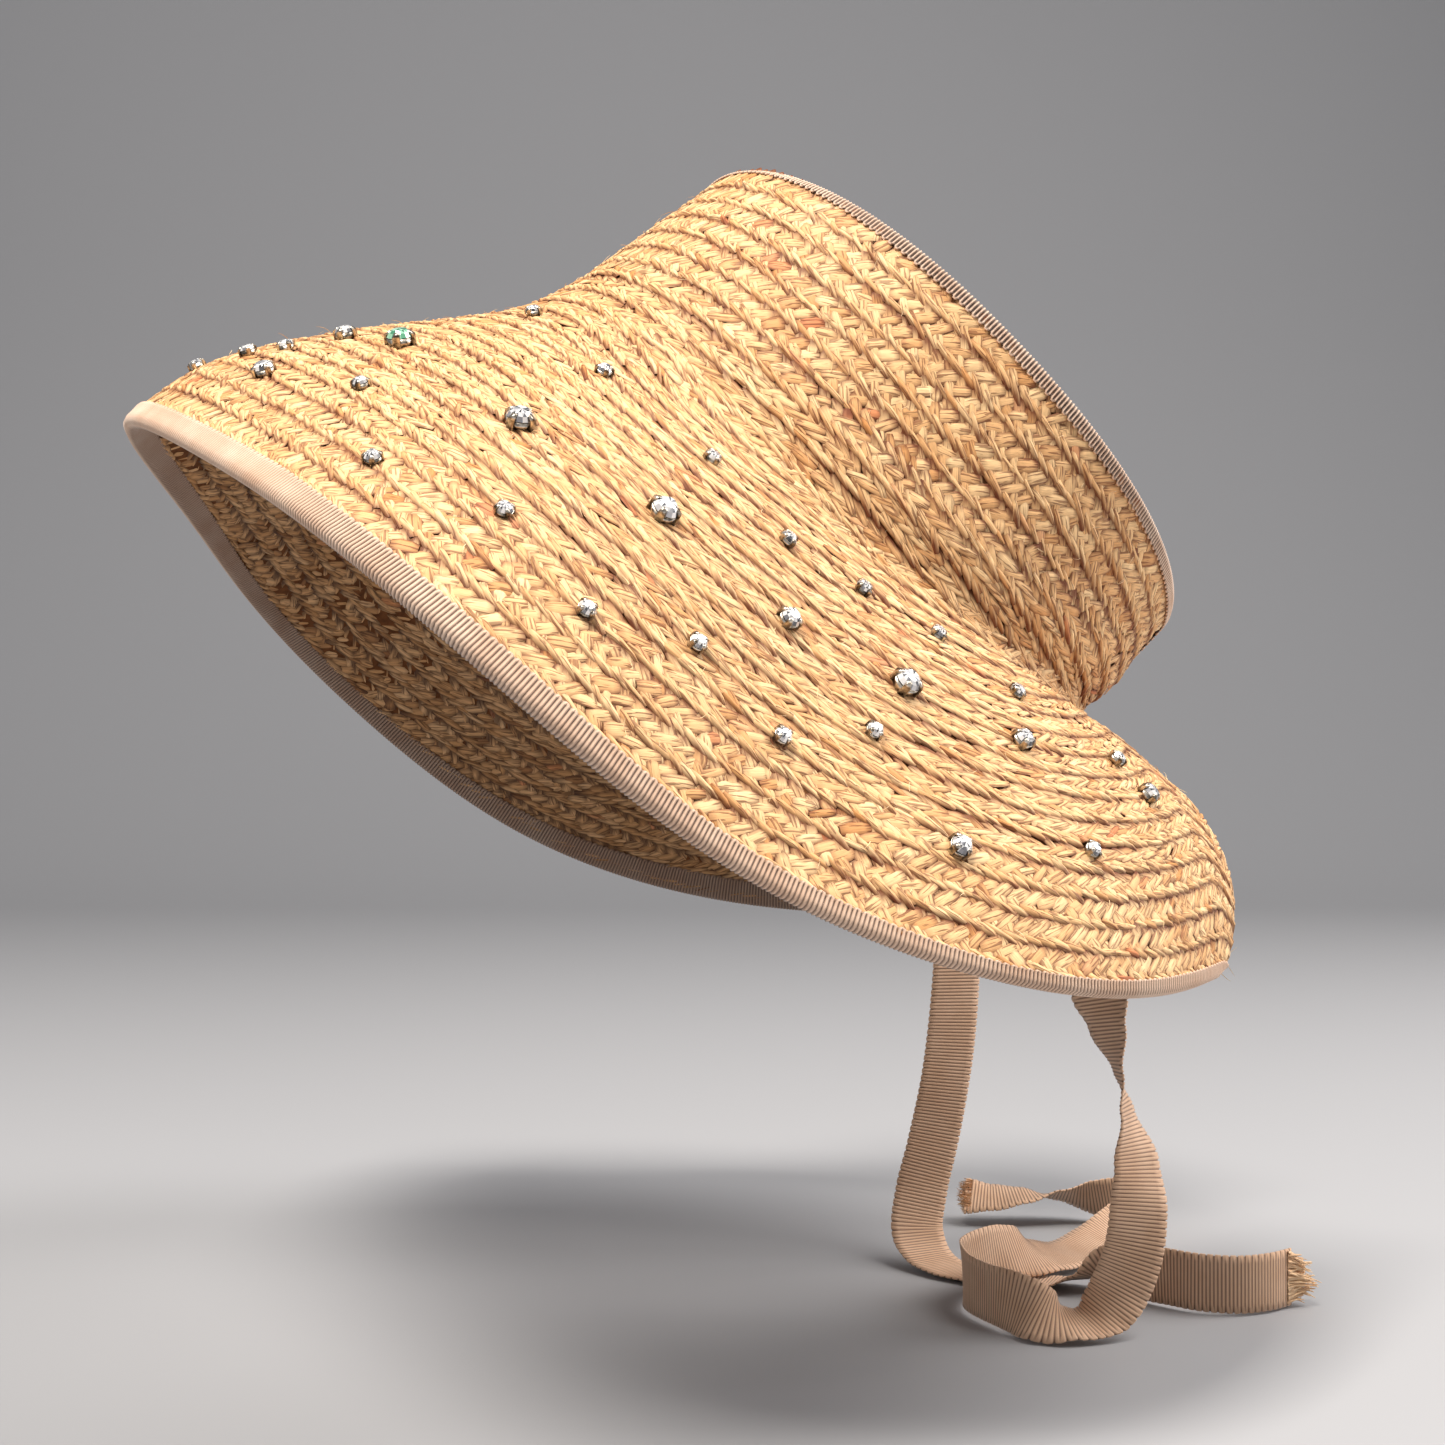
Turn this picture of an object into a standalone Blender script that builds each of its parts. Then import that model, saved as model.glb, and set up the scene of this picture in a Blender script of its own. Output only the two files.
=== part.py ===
"""Straw visor hat: a deep sewn-braid brim and an open-topped crown, open at the back.

Frame: metres, +Z up. The brim's front points along -X and the wearer's right side is +Y.
The hat is tipped back as it is worn, and the origin is the centre of the head opening.
"""

import math
from collections import namedtuple

import bmesh
import bpy
from mathutils import Matrix, Vector
from mathutils.bvhtree import BVHTree

MM = 0.001

# Pose of the hat: the head opening's plane, tipped back about the Y axis.
TIP_BACK = math.radians(37.8)

# Head opening, mm: a superellipse where the crown and the brim meet.
OPENING_HALF_LENGTH = 98.0
OPENING_HALF_WIDTH = 91.0
OPENING_SQUARENESS = 2.2
SEAM_WAVE = 9.5

# Straw and ribbon thicknesses and clearances, mm.
STRAW_WALL = 2.2
RIBBON_THICKNESS = 0.8
CLEARANCE = 0.3

# Binding, mm: how far it laps each side, and how far it wraps past the straw's edge.
BINDING_LAP = 8.0
BINDING_WRAP = 1.7
BINDING_SHOULDER = 0.6

# Crown by angle from the front, in degrees, even steps: wall height and outward lean, mm.
CrownStation = namedtuple("CrownStation", "angle height lean")
CROWN_STATIONS = (
    CrownStation(0, 70.5, -16.5),
    CrownStation(45, 69.0, -13.0),
    CrownStation(90, 60.5, -2.0),
    CrownStation(135, 51.5, 4.0),
    CrownStation(180, 47.0, 7.0),
)

# Brim by angle from the front, even steps: outward reach and drop below the seam, mm.
BrimStation = namedtuple("BrimStation", "angle reach drop")
BRIM_STATIONS = (
    BrimStation(0, 68.5, 101.0),
    BrimStation(30, 63.5, 98.5),
    BrimStation(60, 84.0, 95.5),
    BrimStation(90, 75.0, 93.5),
    BrimStation(120, 84.5, 72.0),
    BrimStation(150, 78.0, 35.0),
    BrimStation(180, 85.5, 19.5),
)

# How far the brim arches above a straight slope, mm: at its middle and towards its edge.
ArchStation = namedtuple("ArchStation", "angle middle outer")
ARCH_STATIONS = (
    ArchStation(0, -1.0, 13.5),
    ArchStation(90, 8.5, 4.5),
    ArchStation(180, 5.5, 9.0),
)

# How far the brim's very front stands above its arch before it turns down, mm, and how
# narrow that part is.
FRONT_TURN = 7.5
FRONT_TURN_NARROWNESS = 6

# Roundness of the turn from crown to brim: length eased on each side of the seam, mm.
NeckStation = namedtuple("NeckStation", "angle ease")
NECK_STATIONS = (NeckStation(0, 16.0), NeckStation(90, 9.0), NeckStation(180, 7.0))

# Open back: where each half ends, in degrees from the front, and its rounded corner.
CROWN_END = 161.5
CROWN_CORNER = 3.0
CROWN_CORNER_START = 0.75
BRIM_END_AT_SEAM = 168.0
BRIM_END_AT_EDGE = 155.0
BRIM_CORNER = 8.0
BRIM_CORNER_START = 0.72

# The straw rolls inwards next to its back ends, mm.
ROLL_WIDTH = 18.0
ROLL_DEPTH = 7.0

# Mesh rows and columns of a half.
CROWN_ROWS = (0.30, 0.53, 0.76)
BRIM_ROWS = (0.22, 0.35, 0.49, 0.63, 0.75, 0.84, 0.90)
EDGE_OFFSETS = (8.0, 0.0)
END_OFFSETS = (18.0, 13.0, 8.0, 4.0, 0.0)
CROWN_COLUMNS = 19
BRIM_COLUMNS = 25
NECK_STEPS = (0.0, 0.55, 0.9)
SEAM_GAP = 0.4

# Rhinestones, mm: girdle radius, cup radius, height of the cup and of the crown of the stone.
StoneSize = namedtuple("StoneSize", "girdle cup cup_height crown_height")
STONE_SIZES = {
    "small": StoneSize(2.1, 2.35, 2.0, 1.0),
    "medium": StoneSize(2.7, 3.0, 2.5, 1.3),
    "large": StoneSize(3.4, 3.75, 3.1, 1.6),
}
STONE_FACETS = 8
TABLE_SHARE = 0.55

# Places of the stones on the wearer's left half, which faces the viewer: the angle from the
# front in degrees, and the distance from the seam along the brim as a share of its width.
StonePlace = namedtuple("StonePlace", "angle share size")
STONES = (
    StonePlace(22.0, 0.13, "small"),
    StonePlace(46.5, 0.21, "small"),
    StonePlace(66.0, 0.215, "small"),
    StonePlace(80.0, 0.275, "small"),
    StonePlace(92.0, 0.23, "small"),
    StonePlace(104.5, 0.205, "small"),
    StonePlace(117.0, 0.275, "small"),
    StonePlace(16.5, 0.635, "medium"),
    StonePlace(25.5, 0.57, "large"),
    StonePlace(52.0, 0.595, "large"),
    StonePlace(68.5, 0.53, "large"),
    StonePlace(85.0, 0.525, "medium"),
    StonePlace(100.0, 0.485, "large"),
    StonePlace(115.0, 0.48, "medium"),
    StonePlace(135.0, 0.535, "medium"),
    StonePlace(5.0, 0.915, "small"),
    StonePlace(11.5, 0.84, "small"),
    StonePlace(14.5, 0.77, "small"),
    StonePlace(21.0, 0.865, "medium"),
    StonePlace(34.5, 0.76, "small"),
    StonePlace(48.0, 0.875, "small"),
    StonePlace(60.0, 0.795, "small"),
    StonePlace(70.5, 0.835, "small"),
    StonePlace(79.0, 0.735, "small"),
    StonePlace(90.0, 0.78, "small"),
    StonePlace(98.0, 0.655, "small"),
    StonePlace(108.5, 0.815, "medium"),
    StonePlace(122.0, 0.735, "small"),
)
# The far half carries the same lines; its main stones are kept as pieces of their own.
FAR_STONES = (
    StonePlace(30.0, 0.16, "small"),
    StonePlace(72.0, 0.20, "small"),
    StonePlace(112.0, 0.18, "small"),
    StonePlace(34.0, 0.54, "large"),
    StonePlace(60.0, 0.52, "medium"),
    StonePlace(80.0, 0.49, "large"),
    StonePlace(100.5, 0.45, "medium"),
    StonePlace(120.0, 0.46, "large"),
    StonePlace(140.0, 0.50, "medium"),
    StonePlace(24.0, 0.80, "small"),
    StonePlace(52.0, 0.78, "medium"),
    StonePlace(86.0, 0.76, "small"),
    StonePlace(110.0, 0.78, "medium"),
)

# Ribbon ties: width in mm, and hand-set routes. Each row is a place on the centre line in mm
# and the direction across the ribbon there.
TIE_WIDTH = 16.0
TIE_STEP = 4.2
FLOOR = -225.8
RoutePoint = namedtuple("RoutePoint", "x y z across_x across_y across_z")


def floor_point(x, y, height, across_x, across_y, across_z):
    """A route point given by its height above the surface that the ties lie on."""
    return RoutePoint(x, y, FLOOR + height, across_x, across_y, across_z)


NEAR_TIE = (
    RoutePoint(80.6, -43.3, -28.5, 0.35, 0.90, -0.27),
    RoutePoint(76.1, -40.3, -41.5, 0.35, 0.90, -0.25),
    RoutePoint(73.6, -37.3, -54.5, 0.30, 0.95, -0.10),
    RoutePoint(75.0, -36.0, -72.0, -0.20, 1.00, 0.0),
    RoutePoint(79.0, -37.0, -95.0, -0.55, 0.85, 0.0),
    RoutePoint(82.0, -38.5, -115.0, -0.80, 0.60, 0.0),
    RoutePoint(84.0, -40.0, -130.0, -0.75, 0.65, 0.0),
    RoutePoint(86.0, -41.0, -140.5, -0.25, 0.95, 0.0),
    RoutePoint(88.5, -43.0, -153.0, 0.25, 0.95, 0.0),
    RoutePoint(90.5, -45.0, -164.5, 0.60, 0.80, 0.0),
    RoutePoint(92.0, -48.0, -179.0, 0.95, 0.30, 0.0),
    RoutePoint(91.0, -51.0, -192.5, 1.00, -0.15, 0.0),
    RoutePoint(89.0, -51.5, -204.0, 0.95, -0.30, 0.0),
    RoutePoint(86.0, -51.0, -212.0, 0.85, -0.45, -0.25),
    RoutePoint(82.0, -50.5, -218.5, 0.60, -0.75, -0.30),
    floor_point(77.5, -50.5, 3.6, 0.25, -0.95, -0.22),
    floor_point(70.5, -51.0, 3.8, -0.05, -0.95, -0.30),
    floor_point(63.0, -49.5, 6.0, -0.25, -0.60, -0.75),
    floor_point(57.0, -42.5, 8.4, -0.10, -0.20, -1.00),
    floor_point(53.0, -31.0, 8.8, 0.0, 0.0, -1.00),
    floor_point(52.0, -17.0, 9.0, 0.0, 0.10, -1.00),
    floor_point(57.0, -4.0, 9.8, 0.10, -0.10, -1.00),
    floor_point(68.0, 5.0, 10.4, 0.10, -0.15, -1.00),
    floor_point(80.0, 11.0, 9.6, 0.15, -0.50, -0.80),
    floor_point(93.0, 19.0, 6.0, 0.30, -1.00, -0.40),
    floor_point(106.0, 28.0, 4.0, 0.50, -1.00, -0.25),
    floor_point(119.0, 37.0, 4.8, 0.70, -0.90, -0.40),
    floor_point(133.0, 47.0, 6.8, 0.70, -0.60, -0.70),
    floor_point(144.0, 59.0, 8.6, 0.40, 0.0, -0.95),
    floor_point(146.0, 72.0, 8.6, -0.10, 0.50, -0.90),
    floor_point(138.0, 82.0, 8.6, -0.30, 0.80, -0.60),
    floor_point(127.0, 87.0, 9.2, -0.20, 1.00, -0.35),
    floor_point(115.0, 90.0, 9.2, 0.0, 1.00, 0.10),
    floor_point(105.0, 93.0, 8.4, 0.10, 0.90, 0.60),
    floor_point(96.0, 97.0, 8.6, 0.0, 0.30, 1.00),
)
FAR_TIE = (
    RoutePoint(80.3, 43.2, -28.2, 0.35, -0.90, -0.27),
    RoutePoint(75.8, 40.2, -41.2, 0.35, -0.90, -0.25),
    RoutePoint(72.8, 38.2, -54.2, 0.40, -0.90, -0.10),
    RoutePoint(72.5, 39.0, -75.0, 0.90, -0.50, 0.0),
    RoutePoint(73.0, 42.0, -100.0, 1.00, 0.0, 0.0),
    RoutePoint(73.0, 45.0, -130.0, 1.00, 0.10, 0.0),
    RoutePoint(71.0, 49.0, -165.0, 1.00, 0.0, 0.0),
    RoutePoint(67.0, 52.0, -190.0, 1.00, -0.10, 0.0),
    RoutePoint(63.0, 51.5, -205.0, 1.00, -0.15, 0.10),
    floor_point(60.0, 47.0, 9.0, 1.00, -0.10, 0.10),
    floor_point(60.5, 38.0, 3.0, 1.00, 0.10, 0.0),
    floor_point(64.0, 28.0, 0.9, 0.90, 0.35, 0.0),
    floor_point(69.5, 19.0, 0.7, 0.80, 0.55, 0.0),
    floor_point(77.0, 11.0, 0.7, 0.70, 0.75, 0.0),
    floor_point(86.0, 4.5, 0.9, 0.45, 0.90, -0.03),
    floor_point(95.0, -2.0, 3.4, 0.10, 0.95, -0.35),
    floor_point(103.5, -11.5, 7.4, -0.10, 0.45, -0.90),
    floor_point(111.0, -25.0, 8.5, 0.0, 0.05, -1.00),
    floor_point(119.0, -36.0, 8.5, 0.0, 0.0, -1.00),
    floor_point(129.0, -41.0, 8.5, 0.0, 0.0, -1.00),
    floor_point(139.0, -40.0, 8.5, 0.0, 0.0, -1.00),
    floor_point(148.0, -36.0, 8.5, 0.0, 0.0, -1.00),
)

# Colours as linear values for the plain materials of this model.
STRAW_COLOUR = (0.62, 0.36, 0.14, 1.0)
RIBBON_COLOUR = (0.48, 0.31, 0.22, 1.0)
STONE_COLOUR = (0.75, 0.76, 0.78, 1.0)


def by_angle(stations, column, angle):
    """Read a table column at an angle in radians, as a cosine series through its rows."""
    values = [getattr(row, column) for row in stations]
    last = len(values) - 1
    total = 0.0
    for order in range(last + 1):
        share = 0.0
        for index, value in enumerate(values):
            weight = 0.5 if index in (0, last) else 1.0
            share += weight * value * math.cos(math.pi * order * index / last)
        scale = (0.5 if order in (0, last) else 1.0) * 2.0 / last
        total += scale * share * math.cos(order * angle)
    return total


def opening_point(angle):
    """Point of the head opening and its outward direction, in the hat's own frame, mm."""
    cos_a = math.cos(angle)
    sin_a = math.sin(angle)
    power = OPENING_SQUARENESS
    size = abs(cos_a / OPENING_HALF_LENGTH) ** power + abs(sin_a / OPENING_HALF_WIDTH) ** power
    radius = size ** (-1.0 / power)
    outward = Vector((-cos_a / OPENING_HALF_LENGTH, -sin_a / OPENING_HALF_WIDTH, 0.0))
    height = SEAM_WAVE * math.cos(2.0 * angle)
    return Vector((-radius * cos_a, -radius * sin_a, height)), outward.normalized()


def raw_crown(angle, share):
    """Crown wall before its foot is rounded: share 0 at the seam, 1 at the top."""
    point, outward = opening_point(angle)
    height = by_angle(CROWN_STATIONS, "height", angle)
    lean = by_angle(CROWN_STATIONS, "lean", angle)
    rise = Vector((0.0, 0.0, height - point.z))
    return point + outward * (lean * share) + rise * share


def raw_brim(angle, share):
    """Brim before its root is rounded: share 0 at the seam, 1 at the outer edge."""
    point, outward = opening_point(angle)
    reach = by_angle(BRIM_STATIONS, "reach", angle)
    drop = by_angle(BRIM_STATIONS, "drop", angle)
    middle = by_angle(ARCH_STATIONS, "middle", angle)
    outer = by_angle(ARCH_STATIONS, "outer", angle)
    arch = 4.0 * middle * share * (1.0 - share) + 6.75 * outer * share * share * (1.0 - share)
    front = FRONT_TURN * max(0.0, math.cos(angle)) ** FRONT_TURN_NARROWNESS
    arch += 28.5 * front * share ** 10 * (1.0 - share)
    return point + outward * (reach * share) + Vector((0.0, 0.0, arch - drop * share))


def row_length(raw, angle):
    """Length of the wall or the brim from the seam to its edge along one angle, mm."""
    steps = [raw(angle, k / 12.0) for k in range(13)]
    return sum((b - a).length for a, b in zip(steps, steps[1:]))


def eased_point(raw, angle, share):
    """A point of the crown or the brim with the turn at the seam rounded."""
    ease = by_angle(NECK_STATIONS, "ease", angle)
    length = row_length(raw, angle)
    own = ease / length
    if share >= own:
        return raw(angle, share)
    other_raw = raw_brim if raw is raw_crown else raw_crown
    other = ease / row_length(other_raw, angle)
    start = raw(angle, own)
    corner = raw(angle, 0.0)
    finish = other_raw(angle, other)
    # Half of a parabola: the seam lies in its middle.
    t = 0.5 * (1.0 - share / own)
    return start * (1.0 - t) ** 2 + corner * (2.0 * t * (1.0 - t)) + finish * t * t


def crown_end(share):
    """Angle where the crown's half ends, rounded towards the top corner."""
    over = max(0.0, (share - CROWN_CORNER_START) / (1.0 - CROWN_CORNER_START))
    return math.radians(CROWN_END - CROWN_CORNER * (1.0 - math.sqrt(max(0.0, 1.0 - over * over))))


def brim_end(share):
    """Angle where the brim's half ends, rounded towards the outer corner."""
    over = max(0.0, (share - BRIM_CORNER_START) / (1.0 - BRIM_CORNER_START))
    straight = BRIM_END_AT_SEAM + (BRIM_END_AT_EDGE - BRIM_END_AT_SEAM) * share
    return math.radians(straight - BRIM_CORNER * (1.0 - math.sqrt(max(0.0, 1.0 - over * over))))


def rolled(raw, end, angle, share):
    """A point of the straw's middle surface, with the roll next to the back end."""
    point = eased_point(raw, angle, share)
    last = end(share)
    step = math.radians(4.0)
    per_step = (eased_point(raw, last, share) - eased_point(raw, last - step, share)).length
    gap = (last - angle) / step * per_step
    inside = max(0.0, 1.0 - gap / ROLL_WIDTH)
    fade = min(1.0, share / 0.35) if raw is raw_brim else 0.0
    beside = eased_point(raw, angle - step, share) - point
    along = eased_point(raw, angle, min(1.0, share + 0.04)) - eased_point(
        raw, angle, max(0.0, share - 0.04)
    )
    inward = along.cross(beside).normalized()
    centre_side = Vector((-point.x, -point.y, -60.0))
    if inward.dot(centre_side) < 0.0:
        inward.negate()
    return point + inward * (ROLL_DEPTH * fade * inside * inside)


def straw_grid(raw, end, rows, columns):
    """Grid of points, rows from the seam to the edge and columns from the front to the end."""
    grid = []
    for row in rows:
        line = []
        for column in range(columns + len(END_OFFSETS)):
            share_row = row(0.0)
            last = end(share_row)
            step = math.radians(4.0)
            near_end = eased_point(raw, last, share_row)
            per_step = (near_end - eased_point(raw, last - step, share_row)).length
            first_offset = END_OFFSETS[0] / per_step * step
            if column < columns:
                angle = (last - first_offset) * column / columns
            else:
                angle = last - END_OFFSETS[column - columns] / per_step * step
            line.append(rolled(raw, end, angle, row(angle)))
        grid.append(line)
    # The table's sizes are those of the outer face; the wall is centred under it.
    inset = STRAW_WALL / 2.0
    return [
        [point - normal * inset for point, normal in zip(line, normals)]
        for line, normals in zip(grid, outward_normals(grid))
    ]


def neck_row(raw, part):
    """Row in the rounded turn: part 0 where the easing starts and 1 at the seam's gap."""

    def share(angle):
        length = row_length(raw, angle)
        ease = by_angle(NECK_STATIONS, "ease", angle)
        return (ease + (SEAM_GAP / 2.0 - ease) * part) / length

    return share


def edge_row(raw, offset):
    """Row at a distance in mm from the outer edge or the top."""
    return lambda angle: 1.0 - offset / row_length(raw, angle)


def rows_of(raw, middles):
    """All rows of one straw piece, from the seam outwards."""
    necks = [neck_row(raw, part) for part in reversed(NECK_STEPS + (1.0,))]
    inner = [lambda angle, share=share: share for share in middles]
    edges = [edge_row(raw, offset) for offset in EDGE_OFFSETS]
    return necks + inner + edges


def new_object(name, mesh, colour, roughness, metallic):
    """Add a mesh to the hat's collection with a plain material of its own."""
    material = bpy.data.materials.new(name + "_material")
    material.use_nodes = True
    shader = material.node_tree.nodes["Principled BSDF"]
    shader.inputs["Base Color"].default_value = colour
    shader.inputs["Roughness"].default_value = roughness
    shader.inputs["Metallic"].default_value = metallic
    mesh.materials.append(material)
    item = bpy.data.objects.new(name, mesh)
    bpy.data.collections[COLLECTION].objects.link(item)
    return item


def grid_mesh(name, grid):
    """Open surface through a grid of points in mm."""
    shape = bmesh.new()
    rows = [[shape.verts.new(point * MM) for point in line] for line in grid]
    for lower, upper in zip(rows, rows[1:]):
        for a, b, c, d in zip(lower, lower[1:], upper[1:], upper):
            shape.faces.new((a, b, c, d))
    bmesh.ops.recalc_face_normals(shape, faces=shape.faces)
    mesh = bpy.data.meshes.new(name)
    shape.to_mesh(mesh)
    shape.free()
    return mesh


def add_mirror(item):
    """Mirror the half across the hat's middle plane."""
    mirror = item.modifiers.new("Mirror", "MIRROR")
    mirror.use_axis = (False, True, False)
    mirror.use_clip = True
    mirror.merge_threshold = 0.0001


def add_wall(item, thickness):
    """Give an open surface its thickness, half to each side."""
    wall = item.modifiers.new("Wall", "SOLIDIFY")
    wall.thickness = thickness * MM
    wall.offset = 0.0


def straw_piece(name, grid):
    """One straw piece: half a surface, mirrored and thickened."""
    item = new_object(name, grid_mesh(name, grid), STRAW_COLOUR, 0.75, 0.0)
    add_mirror(item)
    add_wall(item, STRAW_WALL)
    item.parent = bpy.data.objects[TILT_NAME]
    return item


def grid_normals(grid):
    """Vertex normals of a grid, by the faces around each point; the half is mirrored in Y."""
    normals = []
    for r, line in enumerate(grid):
        found = []
        for c, point in enumerate(line):
            total = Vector()
            for dr, dc in ((1, 1), (-1, 1), (-1, -1), (1, -1)):
                if not 0 <= r + dr < len(grid) or not 0 <= c + dc < len(line):
                    continue
                across = (grid[r + dr][c] - point) * dr
                along = (grid[r][c + dc] - point) * dc
                total += across.cross(along).normalized()
            if c == 0:
                total.y = 0.0
            found.append(total.normalized())
        normals.append(found)
    return normals


def outward_normals(grid):
    """Grid normals turned to the face that shows from outside."""
    normals = grid_normals(grid)
    turned = []
    for line, found in zip(grid, normals):
        row = []
        for point, normal in zip(line, found):
            away = Vector((point.x, point.y, 60.0))
            row.append(normal if normal.dot(away) > 0.0 else -normal)
        turned.append(row)
    return turned


def binding_piece(name, grid):
    """Ribbon folded over the edge of a straw piece, from the front round to the back end."""
    normals = grid_normals(grid)
    top = len(grid) - 1
    last = len(grid[0]) - 1
    lap = len(EDGE_OFFSETS) - 1
    side_lap = END_OFFSETS.index(BINDING_LAP)
    side_lap = len(END_OFFSETS) - 1 - side_lap
    lift = STRAW_WALL / 2.0 + CLEARANCE + RIBBON_THICKNESS / 2.0
    shape = bmesh.new()
    sheets = {}
    for side in (1.0, -1.0):
        for r in range(top + 1):
            for c in range(last + 1):
                if r < top - lap and c < last - side_lap:
                    continue
                point = grid[r][c] + normals[r][c] * (lift * side)
                point = point + edge_direction(grid, r, c) * BINDING_SHOULDER
                sheets[side, r, c] = shape.verts.new(point * MM)
        for r in range(top):
            for c in range(last):
                if r < top - lap and c < last - side_lap:
                    continue
                corners = [(r, c), (r, c + 1), (r + 1, c + 1), (r + 1, c)]
                shape.faces.new([sheets[side, a, b] for a, b in corners])
    rim = [(top, c) for c in range(last)] + [(top, last)]
    rim += [(r, last) for r in range(top - 1, -1, -1)]
    fold = []
    for r, c in rim:
        point = grid[r][c] + edge_direction(grid, r, c) * BINDING_WRAP
        fold.append(shape.verts.new(point * MM))
    for index in range(len(rim) - 1):
        for side in (1.0, -1.0):
            outer = [sheets[(side,) + rim[index]], sheets[(side,) + rim[index + 1]]]
            shape.faces.new((outer[0], outer[1], fold[index + 1], fold[index]))
    bmesh.ops.recalc_face_normals(shape, faces=shape.faces)
    mesh = bpy.data.meshes.new(name)
    shape.to_mesh(mesh)
    shape.free()
    item = new_object(name, mesh, RIBBON_COLOUR, 0.8, 0.0)
    add_mirror(item)
    add_wall(item, RIBBON_THICKNESS)
    item.parent = bpy.data.objects[TILT_NAME]
    return item


def edge_direction(grid, r, c):
    """Direction out of the sheet at a point of its rim; zero away from the rim."""
    top = len(grid) - 1
    last = len(grid[0]) - 1
    if r < top and c < last:
        return Vector()
    normal = grid_normals(grid[max(0, r - 1):r + 2])[min(r, 1)][c]
    if r == top:
        before = grid[r][max(0, c - 1)]
        after = grid[r][c + 1] if c < last else grid[r - 1][c]
    else:
        before = grid[r + 1][c] if r + 1 < top or c == last else grid[r][c]
        after = grid[r - 1][c] if r > 0 else grid[r][c] * 2.0 - grid[r + 1][c]
    out = (after - before).cross(normal).normalized()
    inner = grid[r - 1][c] if r == top and c < last else grid[r][c - 1]
    if out.dot(grid[r][c] - inner) < 0.0:
        out.negate()
    if c == 0:
        out.y = 0.0
        out.normalize()
    return out


def stone_mesh(name, size):
    """A cut stone in its cup, one closed body standing on its own base, in mm times scale."""
    shape = bmesh.new()
    turn = math.pi / STONE_FACETS
    rings = (
        (size.cup * 0.86, 0.0, 0.0),
        (size.cup, size.cup_height, 0.0),
        (size.girdle, size.cup_height, 0.0),
        (size.girdle * TABLE_SHARE, size.cup_height + size.crown_height, turn),
    )
    levels = []
    for radius, height, twist in rings:
        ring = []
        for k in range(STONE_FACETS):
            angle = 2.0 * math.pi * k / STONE_FACETS + twist
            place = Vector((radius * math.cos(angle), radius * math.sin(angle), height))
            ring.append(shape.verts.new(place * MM))
        levels.append(ring)
    for lower, upper in zip(levels[:2], levels[1:3]):
        for k in range(STONE_FACETS):
            n = (k + 1) % STONE_FACETS
            shape.faces.new((lower[k], lower[n], upper[n], upper[k]))
    girdle, table = levels[2], levels[3]
    for k in range(STONE_FACETS):
        n = (k + 1) % STONE_FACETS
        shape.faces.new((girdle[k], girdle[n], table[k]))
        shape.faces.new((girdle[n], table[n], table[k]))
    shape.faces.new(table)
    shape.faces.new(list(reversed(levels[0])))
    bmesh.ops.recalc_face_normals(shape, faces=shape.faces)
    mesh = bpy.data.meshes.new(name)
    shape.to_mesh(mesh)
    shape.free()
    return mesh


def seat(surface, place, side):
    """Where a stone stands on the straw and which way it faces, in the hat's frame, mm."""
    wanted = rolled(raw_brim, brim_end, math.radians(place.angle), place.share)
    spot, normal, _, _ = surface.find_nearest(wanted)
    if normal.dot(Vector((0.0, 0.0, 1.0)) + spot.normalized()) < 0.0:
        normal.negate()
    size = STONE_SIZES[place.size]
    first = normal.orthogonal().normalized()
    second = normal.cross(first)
    facing = normal.copy()
    reach = 1.6 * size.cup
    samples = []
    for k in range(8):
        angle = math.pi * k / 4.0
        beside = spot + (first * math.cos(angle) + second * math.sin(angle)) * reach
        found, near_normal, _, _ = surface.find_nearest(beside)
        if near_normal.dot(normal) < 0.0:
            near_normal.negate()
        facing += near_normal * 0.5
        samples.append(found)
    facing.normalize()
    rise = max(0.0, max((found - spot).dot(facing) * 0.4 for found in samples))
    spot = spot + facing * (rise + STRAW_WALL / 2.0 + CLEARANCE + 0.12)
    if side > 0.0:
        spot.y = -spot.y
        facing.y = -facing.y
    return spot, facing


def add_stone(name, surface, place, side):
    """One stone with its setting, standing on the straw."""
    spot, facing = seat(surface, place, side)
    mesh = stone_mesh(name, STONE_SIZES[place.size])
    turn = facing.to_track_quat("Z", "Y").to_matrix().to_4x4()
    mesh.transform(Matrix.Translation(spot * MM) @ turn)
    item = new_object(name, mesh, STONE_COLOUR, 0.15, 1.0)
    item.parent = bpy.data.objects[TILT_NAME]
    return item


def smooth_route(route):
    """Points and across directions at even steps along a hand-set route, mm."""
    centres = [Vector((row.x, row.y, row.z)) for row in route]
    turns = [Vector((row.across_x, row.across_y, row.across_z)).normalized() for row in route]
    spans = [(b - a).length for a, b in zip(centres, centres[1:])]
    found = []
    for index, span in enumerate(spans):
        steps = max(1, round(span / TIE_STEP))
        for k in range(steps + (index == len(spans) - 1)):
            t = k / steps
            centre = hermite(centres, spans, index, t)
            across = turns[index].lerp(turns[index + 1], t * t * (3.0 - 2.0 * t))
            found.append((centre, across))
    return found


def slope(points, spans, index):
    """Slope of the route at one of its points, per mm."""
    if index == 0:
        return (points[1] - points[0]) / spans[0]
    if index == len(points) - 1:
        return (points[-1] - points[-2]) / spans[-1]
    before = (points[index] - points[index - 1]) / spans[index - 1]
    after = (points[index + 1] - points[index]) / spans[index]
    share = spans[index - 1] / (spans[index - 1] + spans[index])
    return before * (1.0 - share) + after * share


def hermite(points, spans, index, t):
    """Cubic curve between two neighbouring points of the route."""
    span = spans[index]
    m0 = slope(points, spans, index) * span
    m1 = slope(points, spans, index + 1) * span
    t2 = t * t
    t3 = t2 * t
    value = points[index] * (2.0 * t3 - 3.0 * t2 + 1.0) + m0 * (t3 - 2.0 * t2 + t)
    return value + points[index + 1] * (3.0 * t2 - 2.0 * t3) + m1 * (t3 - t2)


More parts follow.
